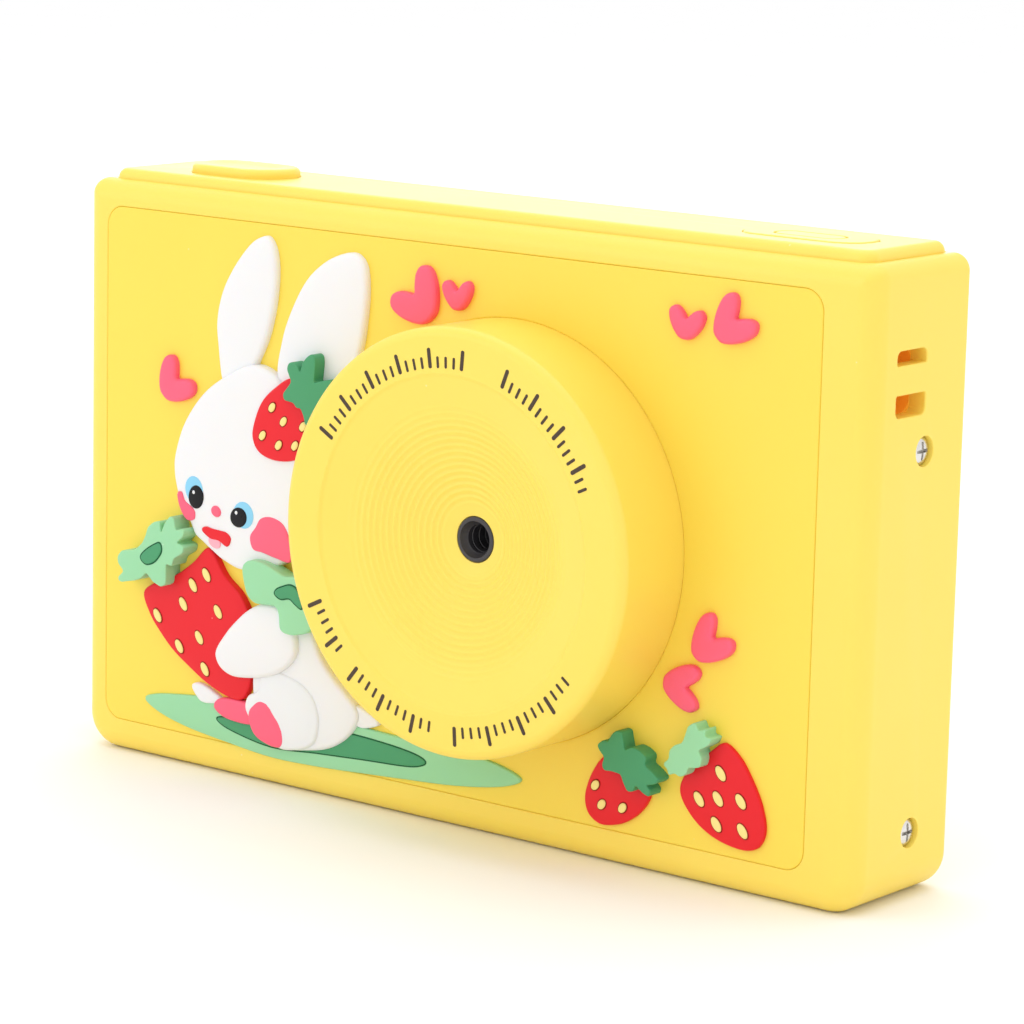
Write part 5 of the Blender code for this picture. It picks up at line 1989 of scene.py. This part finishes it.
@dataclass
class RearCover:
    """Back plate with the screen, the keys and the speaker slits.

    Attributes:
        low: Lowest corner of the plate without its lugs.
        high: Highest corner.
        pad_centre: Middle of the arrow keys.
        rim: Rounding of the plate's edge.
        thickness: Thickness of the plate.
        KEYS: Nodes of the keys.
    """

    low: Vector
    high: Vector
    pad_centre: Point = (-30.8 * MM, 28.0 * MM)
    rim: float = 0.25 * MM
    thickness: float = 1.6 * MM

    KEYS = ("key_up", "key_down", "key_left", "key_right", "key_ok", "key_menu", "key_mode", "key_play")

    def build(self, workshop: Workshop) -> None:
        """Build the plate, the window and the keys.

        Args:
            workshop: Maker of the pieces.
        """
        keys = self._key_outlines()
        inner = self.high.y - self.thickness
        size = self.high - self.low
        centre = (0.0, (self.low.z + self.high.z) / 2)
        outline = rounded_rectangle(centre, size.x, size.z, 2.2 * MM, steps=8)
        plate = rounded_slab(outline, inner, self.high.y, Axis.Y, high_rim=self.rim)
        cutters = self._screen_cutters()
        for shape in keys.values():
            mouth = grown(shape, 0.25 * MM)
            cutters.append(flared_cutter(mouth, Axis.Y, inner - MM, self.high.y, 0.2 * MM))
        for number in range(5):
            slit = pill(((-37.5 + 2.4 * number) * MM, 6.7 * MM), 0.9 * MM, 4.4 * MM, 6)
            cutters.append(flared_cutter(slit, Axis.Y, inner - MM, self.high.y, 0.15 * MM))
        mesh = carved(plate, cutters, self._lugs())
        workshop.piece("back_plate", mesh, "yellow_shell", replaces=["rear_cover"])
        self._window(workshop)
        for name, shape in keys.items():
            self._key(workshop, name, shape)
        self._marks(workshop)

    def _lugs(self) -> list[Solid]:
        """Blocks behind the plate that the side screws hold.

        Returns:
            The lugs.
        """
        lugs = []
        for node in SideScrew.NODES:
            low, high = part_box(node)
            middle = (low.z + high.z) / 2
            inner, outer = sorted((math.copysign(41.2 * MM, low.x), math.copysign(42.6 * MM, low.x)))
            foot, head = middle - 1.7 * MM, middle + 1.7 * MM
            lugs.append(block((inner, -2.2 * MM, foot), (outer, self.high.y - MM, head)))
        return lugs

    def _screen_cutters(self) -> list[Solid]:
        """Seat of the window and the opening behind it.

        Returns:
            The cutters.
        """
        low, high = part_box("screen_window")
        centre = ((low.x + high.x) / 2, (low.z + high.z) / 2)
        width, height = high.x - low.x, high.z - low.z
        seat = rounded_rectangle(centre, width + 0.4 * MM, height + 0.4 * MM, 2.2 * MM, steps=8)
        opening = rounded_rectangle(centre, width - 6 * MM, height - 4 * MM, MM, steps=4)
        return [
            flared_cutter(seat, Axis.Y, low.y - 0.3 * MM, self.high.y, 0.12 * MM),
            loft([(opening, low.y - 4 * MM), (opening, self.high.y)], Axis.Y),
        ]

    def _window(self, workshop: Workshop) -> None:
        """Clear cover with a fine bevel.

        Args:
            workshop: Maker of the pieces.
        """
        low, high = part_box("screen_window")
        centre = ((low.x + high.x) / 2, (low.z + high.z) / 2)
        outline = rounded_rectangle(centre, high.x - low.x, high.z - low.z, 2.0 * MM, steps=8)
        shape = rounded_slab(outline, low.y, high.y, Axis.Y, high_rim=0.18 * MM, steps=3)
        workshop.piece("window", shape, "screen_glass", replaces=["screen_window"])

    def _key_outlines(self) -> dict[str, Outline]:
        """Outline of each key.

        Returns:
            Outline of each key, by node.
        """
        keys = {}
        for name, quarter in (("key_up", 1), ("key_down", 3), ("key_left", 0), ("key_right", 2)):
            keys[name] = self._sector(quarter * math.pi / 2)
        keys["key_ok"] = circle(self.pad_centre, 3.2 * MM, 48)
        for name in ("key_menu", "key_mode", "key_play"):
            low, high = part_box(name)
            centre = ((low.x + high.x) / 2, (low.z + high.z) / 2)
            keys[name] = pill(centre, high.x - low.x - MM, high.z - low.z - MM, 12)
        return keys

    def _sector(self, middle: float) -> Outline:
        """Piece of a ring with softened corners.

        Args:
            middle: Angle of its middle, in radians.

        Returns:
            The outline.
        """
        points = []
        across, up = self.pad_centre[0] / MM, self.pad_centre[1] / MM
        for radius, order in ((9.0, 1), (4.8, -1)):
            for step in range(9):
                turn = middle + order * math.radians(34) * (step / 4 - 1)
                points.append((across + radius * math.cos(turn), up + radius * math.sin(turn)))
        return resampled(softened(points, 0.5, 3), 0.35 * MM)

    def _key(self, workshop: Workshop, name: str, outline: Outline) -> None:
        """Key cap with its flange.

        Args:
            workshop: Maker of the pieces.
            name: Node of the key.
            outline: Outline of the cap.
        """
        low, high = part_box(name)
        flange = rounded_slab(grown(outline, 0.45 * MM), low.y, low.y + 0.8 * MM, Axis.Y)
        cap = rounded_slab(outline, low.y + 0.4 * MM, high.y, Axis.Y, high_rim=0.4 * MM)
        workshop.piece(f"{name}_cap", merged([cap, flange]), "key_plastic", name, [name])

    def _marks(self, workshop: Workshop) -> None:
        """Arrows, a ring, bars and a triangle printed on the keys.

        Args:
            workshop: Maker of the pieces.
        """
        for name in self.KEYS:
            low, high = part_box(name)
            centre = Vector(((low.x + high.x) / 2, (low.z + high.z) / 2)) / MM
            shapes = [
                loft([(shape, high.y - 0.1 * MM), (shape, high.y + 0.02 * MM)], Axis.Y)
                for shape in self._glyph(name, (centre.x, centre.y))
            ]
            workshop.piece(f"{name}_mark", merged(shapes), "key_mark", name, even=False)

    def _glyph(self, name: str, centre: Point) -> list[Outline]:
        """Outlines of the mark on one key.

        Args:
            name: Node of the key.
            centre: Middle of the key, in millimetres.

        Returns:
            The outlines.
        """
        triangle = ((-0.9, -0.6), (0.9, -0.6), (0.0, 0.8))
        turns = {"key_up": 0.0, "key_down": 180.0, "key_left": -90.0, "key_right": 90.0, "key_play": -90.0}
        if name in turns:
            corners = [(p.x / MM, p.y / MM) for p in placed(triangle, centre, turns[name])]
            return [anticlockwise(softened(corners, 0.25, 3))]
        across, up = centre
        if name == "key_ok":
            return [circle((across * MM, up * MM), 0.8 * MM, 32)]
        if name == "key_menu":
            rows = (-0.75, 0.0, 0.75)
            return [pill((across * MM, (up + row) * MM), 2.2 * MM, 0.35 * MM, 4) for row in rows]
        return [
            rounded_rectangle(((across + side) * MM, up * MM), 0.9 * MM, 1.3 * MM, 0.2 * MM, steps=3)
            for side in (-0.75, 0.75)
        ]


# ------------------------------------------------------------------ studio


@dataclass
class Studio:
    """Pale floor, soft lights and the view.

    Attributes:
        view_place: Place of the view.
        view_lens: Focal length of the view, in millimetres.
        LIGHTS: Name, place, target, size and power of each light.
    """

    view_place: Place = (0.23476, -0.29570, 0.10063)
    view_lens: float = 140.69

    LIGHTS = (
        ("overhead", (0.0, 0.05, 0.45), (0.0, 0.0, 0.0), 0.5, 0.5),
        ("left_front", (-0.30, -0.42, 0.26), (0.0, 0.0, 0.03), 0.3, 0.25),
        ("back", (-0.55, 0.62, 0.32), (0.0, 0.0, 0.05), 0.5, 1.2),
    )

    def build(self) -> None:
        """Set up floor, world, lights and view."""
        self._floor()
        self._world()
        for settings in self.LIGHTS:
            self._light(*settings)
        self._camera()
        view = bpy.context.scene.view_settings
        view.view_transform = "Standard"
        view.look = "None"

    def _floor(self) -> None:
        """Large pale floor."""
        shape = bmesh.new()
        bmesh.ops.create_grid(shape, x_segments=8, y_segments=8, size=3.0)
        mesh = bpy.data.meshes.new("floor")
        shape.to_mesh(mesh)
        shape.free()
        material = bpy.data.materials.new("floor_paper")
        material.use_nodes = True
        sheet = NodeSheet(material.node_tree)
        shader = material.node_tree.nodes["Principled BSDF"]
        fibre = sheet.add("ShaderNodeTexNoise", {"Scale": 400.0, "Detail": 3.0})
        colour = sheet.mixed(fibre.outputs[0], (0.96, 0.96, 0.96, 1.0), (0.94, 0.94, 0.94, 1.0))
        sheet.tree.links.new(colour, shader.inputs["Base Color"])
        shader.inputs["Roughness"].default_value = 0.9
        shader.inputs["Specular IOR Level"].default_value = 0.1
        mesh.materials.append(material)
        floor = bpy.data.objects.new("floor", mesh)
        bpy.context.scene.collection.objects.link(floor)

    @staticmethod
    def _world() -> None:
        """Even white surroundings."""
        world = bpy.data.worlds.new("studio")
        world.use_nodes = True
        background = world.node_tree.nodes["Background"]
        background.inputs["Color"].default_value = (1.0, 1.0, 1.0, 1.0)
        background.inputs["Strength"].default_value = 1.05
        bpy.context.scene.world = world

    @staticmethod
    def _light(name: str, place: Place, target: Place, size: float, power: float) -> None:
        """Square soft light aimed at a point.

        Args:
            name: Name of the light.
            place: Place of the light.
            target: Point that it faces.
            size: Side of the square, in metres.
            power: Power, in watts.
        """
        data = bpy.data.lights.new(name, "AREA")
        data.size = size
        data.energy = power
        light = bpy.data.objects.new(name, data)
        light.location = place
        light.rotation_euler = (Vector(target) - Vector(place)).to_track_quat("-Z", "Y").to_euler()
        bpy.context.scene.collection.objects.link(light)

    def _camera(self) -> None:
        """View from the right, a little above."""
        data = bpy.data.cameras.new("view")
        data.lens = self.view_lens
        data.sensor_width = 36.0
        data.clip_start = 0.01
        data.clip_end = 20.0
        right = Vector((0.7827, 0.6220, 0.0234)).normalized()
        ahead = Vector((-0.6080, 0.7721, -0.1847)).normalized()
        up = right.cross(ahead)
        turn = Matrix((right, up, -ahead)).transposed().to_4x4()
        camera = bpy.data.objects.new("view", data)
        camera.matrix_world = Matrix.Translation(self.view_place) @ turn
        bpy.context.scene.collection.objects.link(camera)
        bpy.context.scene.camera = camera


# ------------------------------------------------------------------ main


def top_button(node: str, rim: float, travel: float, seat_z: float) -> TopButton:
    """Read a top button's place from the frame."""
    low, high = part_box(node)
    return TopButton(node, low, high, seat_z + 0.3 * MM + travel, rim)


def main() -> None:
    """Build every sub-assembly in order."""
    logging.basicConfig(level=logging.INFO, format="%(message)s")
    for obj in list(bpy.data.objects):
        bpy.data.objects.remove(obj)
    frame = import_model()
    workshop = Workshop()
    slots = {part["node"]: part["material_slot"] for part in frame["record"]["subparts"]}
    for name, node in frame["nodes"].items():
        workshop.dress(node, slots[name])

    ring_low, ring_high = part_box("lens_ring")
    axis = (ring_low + ring_high) / 2
    ring_radius = (ring_high.x - ring_low.x) / 2
    panel = FrontPanel(*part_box("front_panel"), (axis.x, axis.z), ring_radius)
    plate_low, plate_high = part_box("top_plate")
    seat_z = plate_low.z - 0.3 * MM
    plate = TopPlate(
        plate_low, plate_high + Vector((0.0, 0.5 * MM, 0.0)),
        top_button("shutter_button", 0.6 * MM, 0.8 * MM, seat_z),
        top_button("power_button", 0.25 * MM, 0.5 * MM, seat_z),
    )
    housing = Housing(*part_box("main_shell"))
    housing.build(workshop, panel, plate)
    panel.build(workshop)
    plate.build(workshop)
    LensRing(axis, ring_low.y, ring_radius, panel.low.y + 0.3 * MM).build(workshop)
    hood_low, hood_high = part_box("lens_hood")
    LensHood(axis, hood_low.y, hood_high.y).build(workshop)
    for relief in (Rabbit, Fruit, Hearts):
        relief(panel.low.y).build(workshop)
    for node in SideScrew.NODES:
        SideScrew(node).build(workshop)
    cover_low, cover_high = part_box("rear_cover")
    half_width = 45.4 * MM
    cover_low = Vector((-half_width, 0.0, cover_low.z))
    RearCover(cover_low, Vector((half_width, *cover_high[1:]))).build(workshop)
    Studio().build()
    LOG.info("%d pieces made", len(workshop.made))


if __name__ == "__main__":
    main()
